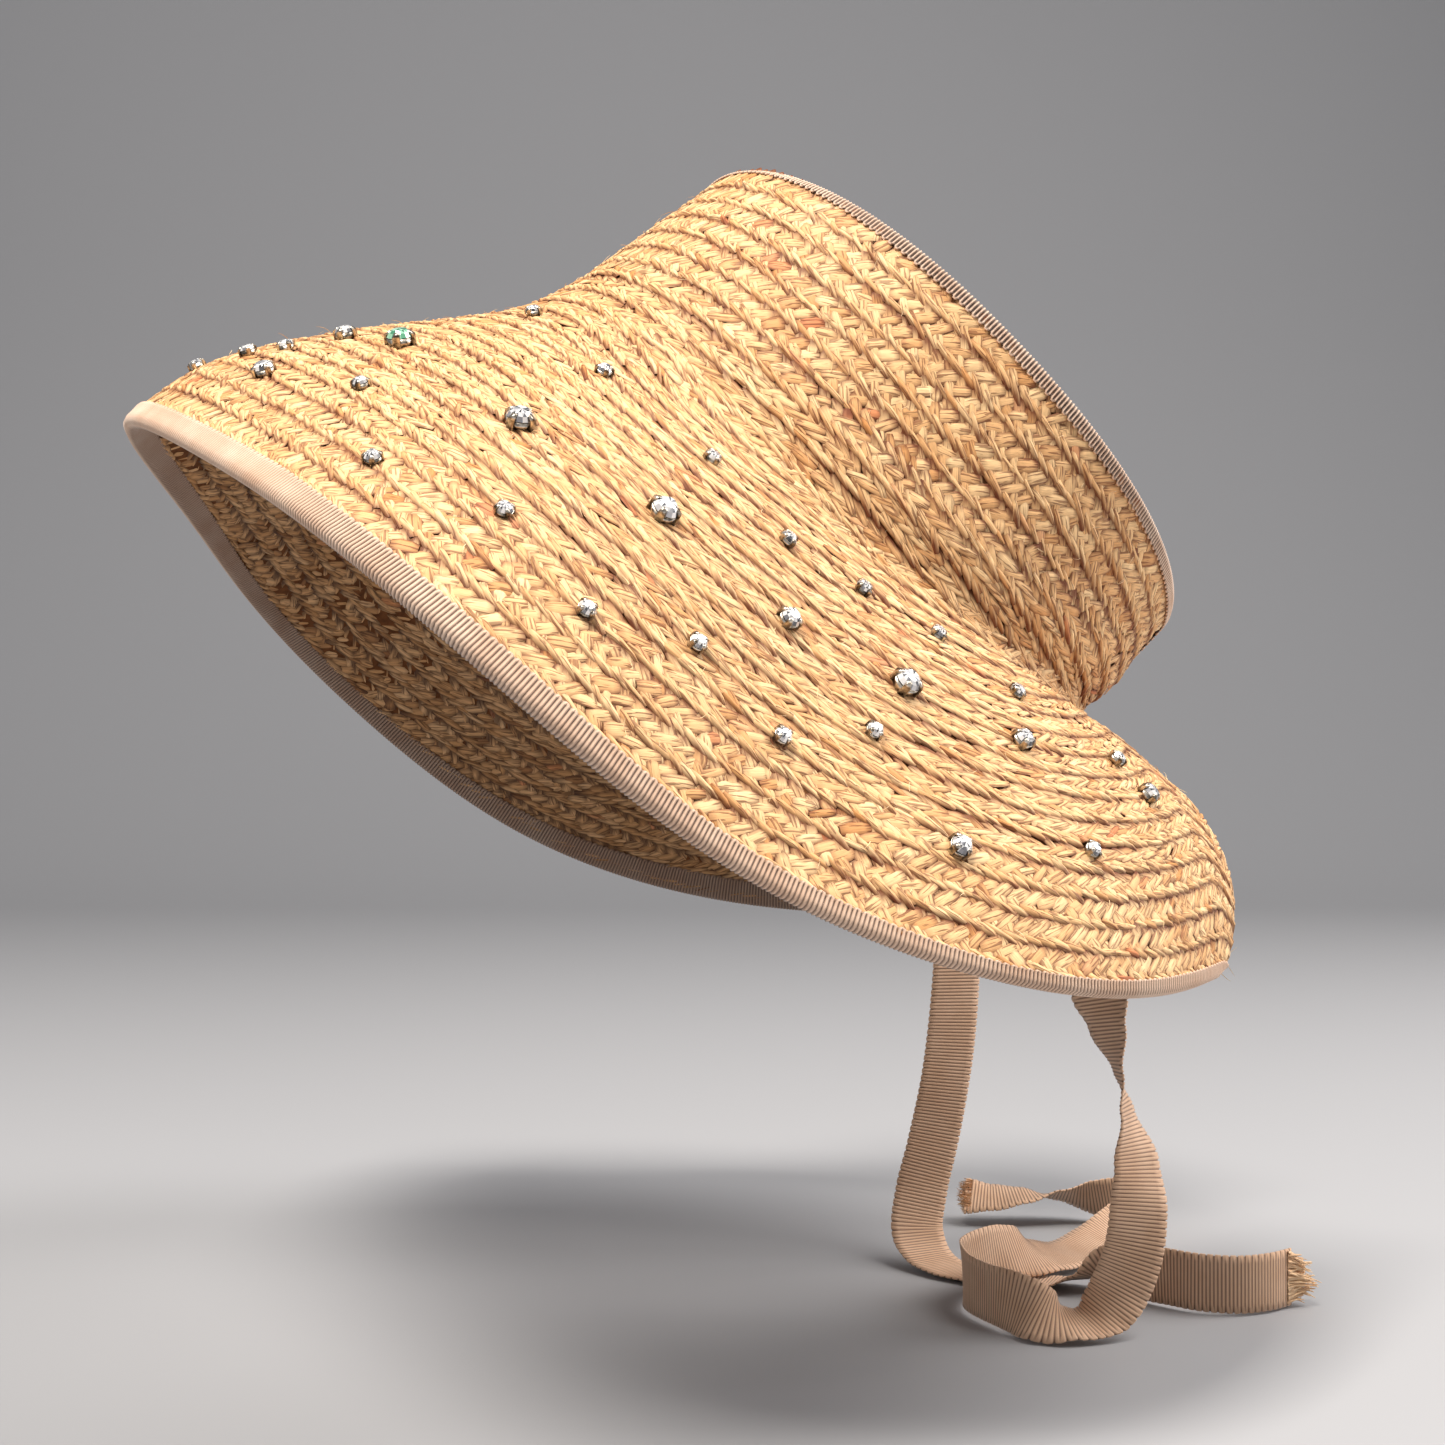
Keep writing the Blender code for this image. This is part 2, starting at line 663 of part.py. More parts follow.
def tie_piece(name, route):
    """A flat ribbon along its route, as an open strip that is then thickened."""
    found = smooth_route(route)
    lines = [[], []]
    for index, (centre, across) in enumerate(found):
        ahead = found[min(index + 1, len(found) - 1)][0]
        behind = found[max(index - 1, 0)][0]
        along = (ahead - behind).normalized()
        across = (across - along * across.dot(along)).normalized()
        lines[0].append(centre - across * (TIE_WIDTH / 2.0))
        lines[1].append(centre + across * (TIE_WIDTH / 2.0))
    item = new_object(name, grid_mesh(name, lines), RIBBON_COLOUR, 0.8, 0.0)
    add_wall(item, RIBBON_THICKNESS)
    return item


COLLECTION = "straw_visor_hat"
TILT_NAME = "tip_back"


def build():
    """Make every piece of the hat."""
    for item in list(bpy.data.objects):
        bpy.data.objects.remove(item, do_unlink=True)
    collection = bpy.data.collections.new(COLLECTION)
    bpy.context.scene.collection.children.link(collection)
    tilt = bpy.data.objects.new(TILT_NAME, None)
    tilt.rotation_euler = (0.0, TIP_BACK, 0.0)
    collection.objects.link(tilt)

    crown_grid = straw_grid(raw_crown, crown_end, rows_of(raw_crown, CROWN_ROWS), CROWN_COLUMNS)
    brim_grid = straw_grid(raw_brim, brim_end, rows_of(raw_brim, BRIM_ROWS), BRIM_COLUMNS)
    straw_piece("crown", crown_grid)
    straw_piece("brim", brim_grid)
    binding_piece("crown_binding", crown_grid)
    binding_piece("brim_binding", brim_grid)

    half = grid_mesh("seats", brim_grid)
    shape = bmesh.new()
    shape.from_mesh(half)
    bpy.data.meshes.remove(half)
    bmesh.ops.scale(shape, verts=shape.verts, vec=(1.0 / MM, 1.0 / MM, 1.0 / MM))
    surface = BVHTree.FromBMesh(shape)
    shape.free()
    for index, place in enumerate(STONES):
        add_stone("stone_near_%02d" % (index + 1), surface, place, -1.0)
    for index, place in enumerate(FAR_STONES):
        add_stone("stone_far_%02d" % (index + 1), surface, place, 1.0)

    tie_piece("tie_near", NEAR_TIE)
    tie_piece("tie_far", FAR_TIE)


build()
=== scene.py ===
"""Straw visor hat: the looks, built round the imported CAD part.

The straw is modelled as the sewn raffia plait it is made of, row by row, on the same surface
that the CAD solids follow. The ribbon bindings and ties carry their woven ribs as geometry,
and each rhinestone sits in a claw cup. Sizes are in mm, where nothing else is said, in the
hat's own frame, in which the head opening lies level. Signed angles run from the front and
are positive on the wearer's left.
"""

import logging
import math
from dataclasses import dataclass, field
from enum import Enum
from typing import Iterable, Sequence

import bmesh
import bpy
import numpy as np
from mathutils import Matrix, Vector

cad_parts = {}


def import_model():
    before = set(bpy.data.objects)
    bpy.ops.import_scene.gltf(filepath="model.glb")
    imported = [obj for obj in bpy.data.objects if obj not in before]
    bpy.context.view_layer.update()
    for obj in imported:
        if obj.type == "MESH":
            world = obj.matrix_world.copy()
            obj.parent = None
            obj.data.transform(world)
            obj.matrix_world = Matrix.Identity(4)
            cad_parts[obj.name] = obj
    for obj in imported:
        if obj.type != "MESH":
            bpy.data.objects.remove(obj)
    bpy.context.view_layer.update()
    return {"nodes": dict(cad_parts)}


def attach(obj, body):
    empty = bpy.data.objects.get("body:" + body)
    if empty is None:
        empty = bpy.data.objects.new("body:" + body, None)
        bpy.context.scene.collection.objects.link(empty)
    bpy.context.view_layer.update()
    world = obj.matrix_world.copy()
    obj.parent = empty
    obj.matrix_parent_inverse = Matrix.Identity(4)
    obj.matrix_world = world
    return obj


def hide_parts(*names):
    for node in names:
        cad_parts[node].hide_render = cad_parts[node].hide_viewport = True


Array = np.ndarray
BMesh = bmesh.types.BMesh
Material = bpy.types.Material
Mesh = bpy.types.Mesh
NodeTree = bpy.types.NodeTree
Pair = tuple[float, float]
Piece = bpy.types.Object

LOG = logging.getLogger("straw_visor_hat")
MM = 0.001
ROOT = "root"

# Places that the photograph fixes: the camera in metres and degrees, and the table.
CAMERA_PLACE = (-0.1812, -0.6152, -0.0588)
CAMERA_TURN_DEG = (90.6, 0.0, -14.86)
CAMERA_LENS_MM = 53.67
CAMERA_SENSOR_MM = 36.0
TABLE_TOP_MM = -226.6

# Each gain makes its arch of the brim one mm high for each mm of its size.
MIDDLE_GAIN = 4.0
OUTER_GAIN = 6.75
EDGE_GAIN = 28.5
EDGE_POWER = 10


class StrawFace(Enum):
    """Which face of the straw a layer of plait lies on."""

    OUTER = 1.0
    UNDER = -1.0


class StrawPiece(Enum):
    """The two straw walls of the hat."""

    CROWN = "crown"
    BRIM = "brim"


class StoneSize(Enum):
    """Rhinestone sizes: girdle radius, cup radius, cup height and stone height."""

    SMALL = (2.1, 2.35, 2.0, 1.0)
    MEDIUM = (2.7, 3.0, 2.5, 1.3)
    LARGE = (3.4, 3.75, 3.1, 1.6)


# Helpers for nodes


def hex_colour(code: str) -> tuple[float, ...]:
    """Turn an sRGB hex value into linear light.

    Args:
        code: Six hex digits.

    Returns:
        Linear red, green and blue, and an alpha of 1.
    """
    values = [int(code[start:start + 2], 16) / 255.0 for start in (0, 2, 4)]
    linear = [v / 12.92 if v <= 0.04045 else ((v + 0.055) / 1.055) ** 2.4 for v in values]
    return (*linear, 1.0)


def set_values(node: bpy.types.Node, values: dict[str | int, object]) -> None:
    """Set a node's properties and sockets, and link its inputs.

    Args:
        node: The node.
        values: Values by name or index. A socket takes a number, a hex colour or the output
            that feeds it, and "stops" gives a colour ramp its places and hex colours.
    """
    for key, value in values.items():
        if key == "stops":
            elements = node.color_ramp.elements
            while len(elements) < len(value):
                elements.new(0.5)
            for element, (place, code) in zip(elements, value):
                element.position = place
                element.color = hex_colour(code)
        elif isinstance(value, bpy.types.NodeSocket):
            node.id_data.links.new(value, node.inputs[key])
        elif isinstance(key, int) or key in node.inputs:
            node.inputs[key].default_value = hex_colour(value) if isinstance(value, str) else value
        else:
            setattr(node, key, value)


def add_node(
    tree: NodeTree, kind: str, values: dict[str | int, object], out: str | int = 0
) -> bpy.types.NodeSocket:
    """Add a node with its settings and links.

    Args:
        tree: Node tree that gets the node.
        kind: Node type, without the word ShaderNode.
        values: Its settings and links, as set_values takes them.
        out: Name or index of the output to use.

    Returns:
        That output.
    """
    node = tree.nodes.new("ShaderNode" + kind)
    set_values(node, values)
    return node.outputs[out]


# Helpers for shapes


def unit(vectors: Array) -> Array:
    """Scale vectors to length one."""
    return vectors / np.maximum(np.linalg.norm(vectors, axis=-1, keepdims=True), 1e-12)


def ease_in(values: Array, start: float, span: float) -> Array:
    """Rise from 0 at a start to 1 after a span, and stay there."""
    return np.clip((values - start) / span, 0.0, 1.0)


def run_along(points: Array) -> Array:
    """Measure lines of points.

    Args:
        points: Points, in order along the last axis but one.

    Returns:
        How far along its line each point lies.
    """
    steps = np.linalg.norm(np.diff(points, axis=-2), axis=-1)
    return np.concatenate([0.0 * steps[..., :1], np.cumsum(steps, axis=-1)], axis=-1)


def cosine_series(values: Sequence[float], angle: Array) -> Array:
    """Read evenly spaced sizes at any angle, as a cosine series through them.

    Args:
        values: Sizes from the front, 0 degrees, to the back, 180 degrees.
        angle: Angles in radians.

    Returns:
        The size at each angle.
    """
    last = len(values) - 1
    order = np.arange(last + 1)
    half = np.where((order == 0) | (order == last), 0.5, 1.0)
    table = np.cos(np.pi * np.outer(order, order) / last)
    weights = (2.0 / last) * half * (table @ (half * np.asarray(values, float)))
    return np.cos(np.multiply.outer(np.asarray(angle, float), order)) @ weights


def numbered(columns: int, rows: int) -> tuple[Array, Array]:
    """Number the column and row of each point of a grid, in its points' order."""
    index = np.arange((columns + 1) * (rows + 1))
    return index % (columns + 1), index // (columns + 1)


def small_grid(columns: int, rows: int) -> tuple[Array, Array]:
    """Make a flat grid that is to be repeated.

    Args:
        columns: Faces along it.
        rows: Faces across it.

    Returns:
        Its points, from -1 to 1 along and across, and its faces.
    """
    shape = bmesh.new()
    bmesh.ops.create_grid(shape, x_segments=columns, y_segments=rows, size=1.0)
    shape.verts.index_update()
    points = np.array([vertex.co[:] for vertex in shape.verts])
    faces = np.array([[vertex.index for vertex in face.verts] for face in shape.faces])
    shape.free()
    return points, faces


def repeated_mesh(name: str, points: Array, quads: Array) -> tuple[Mesh, Array]:
    """Make one mesh of many bent copies of a small grid.

    Args:
        name: Name of the mesh.
        points: Points in metres, by copy and by point of the grid.
        quads: The grid's faces.

    Returns:
        The mesh, and all its faces.
    """
    starts = np.arange(len(points)) * points.shape[1]
    faces = (quads[None] + starts[:, None, None]).reshape(-1, 4)
    mesh = bpy.data.meshes.new(name)
    mesh.from_pydata(points.reshape(-1, 3).tolist(), [], faces.tolist(), shade_flat=False)
    return mesh, faces


def shaped_grid(name: str, columns: int, rows: int, points: Array, flip: bool = False) -> Mesh:
    """Make a grid and move its points to their places.

    Args:
        name: Name of the mesh.
        columns: Faces along the first direction.
        rows: Faces along the second direction.
        points: Places in metres, in the order that numbered gives.
        flip: Turn the faces round.

    Returns:
        The mesh, with the grid as its UV map.
    """
    shape = bmesh.new()
    shape.loops.layers.uv.new("UVMap")
    bmesh.ops.create_grid(shape, x_segments=columns, y_segments=rows, size=1.0, calc_uvs=True)
    if flip:
        bmesh.ops.reverse_faces(shape, faces=shape.faces)
    mesh = bpy.data.meshes.new(name)
    shape.to_mesh(mesh)
    shape.free()
    mesh.vertices.foreach_set("co", points.ravel())
    mesh.shade_smooth()
    mesh.update()
    return mesh


def set_attribute(mesh: Mesh, name: str, values: Array, domain: str = "POINT") -> None:
    """Store one number for each point or face of a mesh, which its finish reads."""
    layer = mesh.attributes.new(name, "FLOAT", domain)
    layer.data.foreach_set("value", np.asarray(values, np.float32))


def linked(name: str, data: bpy.types.ID) -> bpy.types.Object:
    """Make an object at the origin and link it to the scene."""
    made = bpy.data.objects.new(name, data)
    bpy.context.scene.collection.objects.link(made)
    return made


def new_piece(name: str, mesh: Mesh, *finishes: Material) -> Piece:
    """Make a mesh into a piece.

    Args:
        name: Name of the piece.
        mesh: Its mesh, in metres.
        *finishes: Its materials, in the order of its faces' numbers.

    Returns:
        The piece.
    """
    for finish in finishes:
        mesh.materials.append(finish)
    return linked(name, mesh)


def add_wall(piece: Piece, thickness: float, offset: float) -> None:
    """Give a ribbon its thickness, to one side or, with offset 0, to both."""
    wall = piece.modifiers.new("Wall", "SOLIDIFY")
    wall.thickness = thickness * MM
    wall.offset = offset


def keep(piece: Piece, slot: str, *nodes: str) -> None:
    """Hang a finished piece on the hat's body.

    Args:
        piece: The piece.
        slot: Not used.
        *nodes: CAD nodes that it stands for.
    """
    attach(piece, ROOT)
    if nodes:
        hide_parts(*nodes)
    LOG.info("%s: %d faces", piece.name, len(piece.data.polygons))


# The hat's form


@dataclass(frozen=True)
class HatShape:
    """The hat's surface, from the same named sizes as the CAD part, in mm and degrees."""

    tip_back: float = 37.8
    half_length: float = 98.0
    half_width: float = 91.0
    squareness: float = 2.2
    seam_wave: float = 9.5
    straw_wall: float = 2.2
    crown_height: tuple[float, ...] = (70.5, 69.0, 60.5, 51.5, 47.0)
    crown_lean: tuple[float, ...] = (-16.5, -13.0, -2.0, 4.0, 7.0)
    brim_reach: tuple[float, ...] = (68.5, 63.5, 84.0, 75.0, 84.5, 78.0, 85.5)
    brim_drop: tuple[float, ...] = (101.0, 98.5, 95.5, 93.5, 72.0, 35.0, 19.5)
    arch_middle: tuple[float, ...] = (-1.0, 8.5, 5.5)
    arch_outer: tuple[float, ...] = (13.5, 4.5, 9.0)
    front_turn: float = 7.5
    front_turn_narrowness: int = 6
    neck_ease: tuple[float, ...] = (16.0, 9.0, 7.0)
    crown_end: float = 161.5
    crown_corner: Pair = (3.0, 0.75)
    brim_end: Pair = (168.0, 155.0)
    brim_corner: Pair = (8.0, 0.72)
    roll_width: float = 18.0
    roll_depth: float = 7.0
    roll_most: float = 1.6
    roll_from: float = 0.35
    look_step: float = 4.0
    look_share: float = 0.04
    middle_height: float = 60.0

    def opening(self, angle: Array) -> tuple[Array, Array]:
        """Find the head opening's rim.

        Args:
            angle: Angles from the front, radians.

        Returns:
            Points of the rim, and level directions outwards.
        """
        cos_a, sin_a = np.cos(angle), np.sin(angle)
        a, b, power = self.half_length, self.half_width, self.squareness
        radius = (np.abs(cos_a / a) ** power + np.abs(sin_a / b) ** power) ** (-1.0 / power)
        height = self.seam_wave * np.cos(2.0 * angle)
        points = np.stack([-radius * cos_a, -radius * sin_a, height], -1)
        outward = np.stack([-cos_a / a, -sin_a / b, np.zeros_like(cos_a)], -1)
        return points, unit(outward)

    def raw(self, piece: StrawPiece, angle: Array, share: Array) -> Array:
        """Find points of a straw wall before the turn between the walls is rounded.

        Args:
            piece: Crown or brim.
            angle: Angles from the front, radians.
            share: 0 at the seam, 1 at the edge.

        Returns:
            Points of the outer face.
        """
        point, outward = self.opening(angle)
        up = np.zeros_like(point)
        if piece is StrawPiece.CROWN:
            lean = cosine_series(self.crown_lean, angle)
            height = cosine_series(self.crown_height, angle)
            up[..., 2] = (height - point[..., 2]) * share
            return point + outward * (lean * share)[..., None] + up
        reach, left = cosine_series(self.brim_reach, angle), 1.0 - share
        arch = MIDDLE_GAIN * cosine_series(self.arch_middle, angle) * share * left
        arch = arch + OUTER_GAIN * cosine_series(self.arch_outer, angle) * share**2 * left
        front = self.front_turn * np.maximum(0.0, np.cos(angle)) ** self.front_turn_narrowness
        arch = arch + EDGE_GAIN * front * share**EDGE_POWER * left
        up[..., 2] = arch - cosine_series(self.brim_drop, angle) * share
        return point + outward * (reach * share)[..., None] + up

    def raw_length(self, piece: StrawPiece, angle: Array) -> Array:
        """Measure a straw wall from the seam to its edge along each angle."""
        steps = [self.raw(piece, angle, np.full_like(angle, k / 12.0)) for k in range(13)]
        return sum(np.linalg.norm(b - a, axis=-1) for a, b in zip(steps, steps[1:]))

    def eased(self, piece: StrawPiece, angle: Array, share: Array) -> Array:
        """Find points of a straw wall with the turn at the seam rounded.

        Args:
            piece: Crown or brim.
            angle: Angles from the front, radians.
            share: 0 at the seam, 1 at the edge.

        Returns:
            Points of the outer face.
        """
        other = StrawPiece.BRIM if piece is StrawPiece.CROWN else StrawPiece.CROWN
        ease = cosine_series(self.neck_ease, angle)
        own = ease / self.raw_length(piece, angle)
        far = ease / self.raw_length(other, angle)
        t = (0.5 * (1.0 - np.clip(share / own, 0.0, 1.0)))[..., None]
        start = self.raw(piece, angle, own)
        corner = self.raw(piece, angle, np.zeros_like(angle))
        finish = self.raw(other, angle, far)
        turned = start * (1.0 - t) ** 2 + corner * (2.0 * t * (1.0 - t)) + finish * t * t
        return np.where((share >= own)[..., None], self.raw(piece, angle, share), turned)

    def end_angle(self, piece: StrawPiece, share: Array) -> Array:
        """Find where each half ends at the open back.

        Args:
            piece: Crown or brim.
            share: 0 at the seam, 1 at the edge.

        Returns:
            Angles in radians.
        """
        crown = piece is StrawPiece.CROWN
        corner, start = self.crown_corner if crown else self.brim_corner
        over = ease_in(share, start, 1.0 - start)
        dip = corner * (1.0 - np.sqrt(np.maximum(0.0, 1.0 - over**2)))
        low, high = (self.crown_end, self.crown_end) if crown else self.brim_end
        return np.radians(low + (high - low) * share - dip)

    def rolled(self, piece: StrawPiece, angle: Array, share: Array) -> Array:
        """Find points of the outer face, with the roll of the brim beside the open back.

        Args:
            piece: Crown or brim.
            angle: Angles from the front, radians.
            share: 0 at the seam, 1 at the edge.

        Returns:
            Points of the outer face.
        """
        point = self.eased(piece, angle, share)
        step = math.radians(self.look_step)
        last = self.end_angle(piece, share)
        at_end = self.eased(piece, last, share)
        before = self.eased(piece, last - step, share)
        per_step = np.linalg.norm(at_end - before, axis=-1)
        from_end = (last - angle) / step * per_step
        inside = np.clip(1.0 - from_end / self.roll_width, 0.0, self.roll_most)
        brim = piece is StrawPiece.BRIM
        fade = np.minimum(1.0, share / self.roll_from) if brim else 0.0 * share
        beside = self.eased(piece, angle - step, share) - point
        past = np.minimum(1.0, share + self.look_share)
        along = self.eased(piece, angle, past) - self.eased(
            piece, angle, np.maximum(0.0, share - self.look_share)
        )
        inward = unit(np.cross(along, beside))
        height = np.full_like(share, -self.middle_height)
        centre = np.stack([-point[..., 0], -point[..., 1], height], -1)
        inward = inward * np.sign((inward * centre).sum(-1, keepdims=True))
        return point + inward * (self.roll_depth * fade * inside**2)[..., None]

    def placed(self, points: Array) -> Array:
        """Tip points back as the hat is worn, and turn mm into metres."""
        tip = math.radians(self.tip_back)
        x, y, z = points[..., 0], points[..., 1], points[..., 2]
        worn = [x * math.cos(tip) + z * math.sin(tip), y, z * math.cos(tip) - x * math.sin(tip)]
        return np.stack(worn, -1) * MM


@dataclass(frozen=True)
class StrawSheet:
    """The straw's outer face as one sheet of rows.

    A row is a distance from the seam: negative up the crown, 0 at the seam and positive down
    the brim.
    """

    shape: HatShape
    points: Array
    normals: Array
    lengths: dict[StrawPiece, Array]
    first: float
    step: float

    @classmethod
    def of(cls, shape: HatShape, angle_steps: int = 241, step: float = 1.5) -> "StrawSheet":
        """Work out the sheet.

        Args:
            shape: The hat's form.
            angle_steps: Columns from the front to the back.
            step: Distance between its rows.

        Returns:
            The sheet.
        """
        crown, crown_length = cls.half(shape, StrawPiece.CROWN, angle_steps, step)
        brim, brim_length = cls.half(shape, StrawPiece.BRIM, angle_steps, step)
        points = np.concatenate([crown[:, :0:-1], brim], axis=1)
        normals = unit(np.cross(np.gradient(points, axis=0), np.gradient(points, axis=1)))
        height = np.full(points.shape[:2], shape.middle_height)
        away = np.stack([points[..., 0], points[..., 1], height], -1)
        normals *= np.sign((normals * away).sum(-1, keepdims=True))
        lengths = {StrawPiece.CROWN: crown_length, StrawPiece.BRIM: brim_length}
        return cls(shape, points, normals, lengths, -(crown.shape[1] - 1) * step, step)

    @staticmethod
    def half(
        shape: HatShape, piece: StrawPiece, angle_steps: int, step: float
    ) -> tuple[Array, Array]:
        """Work out one wall's part of the sheet, which goes on straight past its edge.

        Args:
            shape: The hat's form.
            piece: Crown or brim.
            angle_steps: Columns from the front to the back.
            step: Distance between rows.

        Returns:
            Points by angle and row, and the length to the edge at each angle.
        """
        angles = np.linspace(0.0, math.pi, angle_steps)
        shares = np.linspace(0.0, 1.0, 101)
        rough = shape.rolled(piece, *np.meshgrid(angles, shares, indexing="ij"))
        run = run_along(rough)
        rows = np.arange(int(run[:, -1].max() / step) + 8) * step
        points = np.empty((angle_steps, len(rows), 3))
        for k in range(angle_steps):
            for axis in range(3):
                points[k, :, axis] = np.interp(rows, run[k], rough[k, :, axis])
            over = np.maximum(0.0, rows - run[k, -1])[:, None]
            points[k] += unit(rough[k, -1] - rough[k, -4]) * over
        return points, run[:, -1]

    def read(self, table: Array, phi: Array, rows: Array) -> Array:
        """Read points or normals of the sheet.

        Args:
            table: Points or normals.
            phi: Signed angles, radians.
            rows: Rows of the sheet.

        Returns:
            One vector for each place.
        """
        a = np.clip(np.abs(phi) / math.pi * (table.shape[0] - 1), 0, table.shape[0] - 1.001)
        r = np.clip((rows - self.first) / self.step, 0, table.shape[1] - 1.001)
        ia, ir = a.astype(int), r.astype(int)
        fa, fr = (a - ia)[..., None], (r - ir)[..., None]
        low = table[ia, ir] * (1 - fr) + table[ia, ir + 1] * fr
        high = table[ia + 1, ir] * (1 - fr) + table[ia + 1, ir + 1] * fr
        found = low * (1 - fa) + high * fa
        found[..., 1] *= np.where(phi < 0.0, -1.0, 1.0)
        return found

    def normal(self, phi: Array, rows: Array) -> Array:
        """Find the outward directions at places on the sheet."""
        return unit(self.read(self.normals, phi, rows))

    def surface(self, phi: Array, rows: Array, lift: Array) -> Array:
        """Find the points at some height above places on the sheet."""
        above = self.normal(phi, rows) * np.asarray(lift)[..., None]
        return self.read(self.points, phi, rows) + above

    def edge(self, piece: StrawPiece, phi: Array) -> Array:
        """Find the sheet's row at a wall's edge.

        Args:
            piece: Crown or brim.
            phi: Signed angles, radians.

        Returns:
            The row at each angle.
        """
        lengths = self.lengths[piece]
        found = np.interp(np.abs(phi), np.linspace(0.0, math.pi, len(lengths)), lengths)
        return found if piece is StrawPiece.BRIM else -found


# Finishes


@dataclass(frozen=True)
class Finish:
    """A finish: a Principled shader and the nodes that feed it."""

    name: str

    def nodes(self, tree: NodeTree) -> dict[str | int, object]:
        """Add the nodes, and give the shader's values and links."""
        return {}

    def material(self) -> Material:
        """Make the material."""
        material = bpy.data.materials.new(self.name)
        material.use_nodes = True
        tree = material.node_tree
        set_values(tree.nodes["Principled BSDF"], self.nodes(tree))
        return material


@dataclass(frozen=True)
class RaffiaPlait(Finish):
    """Raffia, split palm leaf dried to a golden tan and plaited by hand.

    Each strand is a flat bundle of fibres, so it shows fine streaks along its length, a
    soft sheen, and a colour of its own. A few strands are rust-coloured at the leaf's base.
    """

    light: str = "f9d39e"
    middle: str = "eab880"
    deep: str = "ca8c50"
    # Painted shade colour for the grooves between strands and rows.
    groove_shade: str = "64280a"
    rust: str = "c8683a"
    roughness: float = 0.62
    fibre_mm: Pair = (4.0, 0.30)
    split_mm: Pair = (6.0, 0.62)

    def nodes(self, tree: NodeTree) -> dict[str | int, object]:
        """Add the nodes. The UV map is in mm along and across the strand.

        Args:
            tree: The material's node tree.

        Returns:
            The shader's values and links.
        """
        uv = add_node(tree, "UVMap", {"uv_map": "UVMap"})
        noises = []
        for (long, wide), start, detail, rough in (
            (self.fibre_mm, (0.0, 0.0, 0.0), 3.0, 0.6),
            (self.split_mm, (31.0, 17.0, 0.0), 1.0, 0.4),
        ):
            scale = (1.0 / long, 1.0 / wide, 1.0)
            place = add_node(tree, "Mapping", {"Scale": scale, "Location": start, "Vector": uv})
            look = {"Scale": 1.0, "Detail": detail, "Roughness": rough, "Vector": place}
            noises.append(add_node(tree, "TexNoise", look))
        tone, crest, rust = (
            add_node(tree, "Attribute", {"attribute_name": name}, "Fac")
            for name in ("tone", "crest", "rust")
        )
        stops = ((0.0, self.deep), (0.45, self.middle), (1.0, self.light))
        strand = add_node(tree, "ValToRGB", {"Fac": tone, "stops": stops})
        rusty = add_node(tree, "Mix", {"data_type": "RGBA", 0: rust, 6: strand, 7: self.rust}, 2)
        dull = {"From Min": 0.3, "From Max": 0.7, "To Min": 0.74, "To Max": 1.12}
        streak = add_node(tree, "MapRange", dull | {"Value": noises[0]})
        streaked = add_node(
            tree, "Mix",
            {"data_type": "RGBA", "blend_type": "MULTIPLY", 0: 1.0, 6: rusty, 7: streak}, 2,
        )
        # Painted shade: where the crest attribute is low, at the sides and ends of strands and
        # rows, the colour mixes toward the dark groove shade colour; the splits between fibres mix
        # toward it too.
        gap = {"From Min": 0.38, "From Max": 0.45, "Value": noises[1]}
        parting = add_node(tree, "MapRange", gap)
        shown = {"operation": "MULTIPLY_ADD", 0: parting, 1: 0.62, 2: 0.38}
        whole = {"operation": "MULTIPLY", 0: crest, 1: add_node(tree, "Math", shown)}
        mixed = {"data_type": "RGBA", 0: add_node(tree, "Math", whole), 6: self.groove_shade}
        relief = {"Strength": 0.5, "Distance": 0.0004, "Height": parting}
        return {
            "Base Color": add_node(tree, "Mix", mixed | {7: streaked}, 2),
            "Normal": add_node(tree, "Bump", relief),
            "Roughness": self.roughness,
            "Specular IOR Level": 0.35,
        }


@dataclass(frozen=True)
class PaintedShadeGround(Finish):
    """The straw wall under the plait, coloured dark brown as painted shade: it shows only as dark
    lines between the rows.
    """

    name: str = "raffia_ground_painted_shade"
    colour: str = "6e4222"
    deep: str = "4a2a12"
    grain_mm: float = 2.5

    def nodes(self, tree: NodeTree) -> dict[str | int, object]:
        """Add the nodes.

        Args:
            tree: The material's node tree.

        Returns:
            The shader's values and links.
        """
        place = add_node(tree, "TexCoord", {}, "Object")
        look = {"Scale": 1.0 / (self.grain_mm * MM), "Detail": 3.0, "Vector": place}
        stops = ((0.3, self.deep), (0.7, self.colour))
        ramp = {"Fac": add_node(tree, "TexNoise", look), "stops": stops}
        colour = add_node(tree, "ValToRGB", ramp)
        return {"Base Color": colour, "Roughness": 0.85, "Specular IOR Level": 0.2}


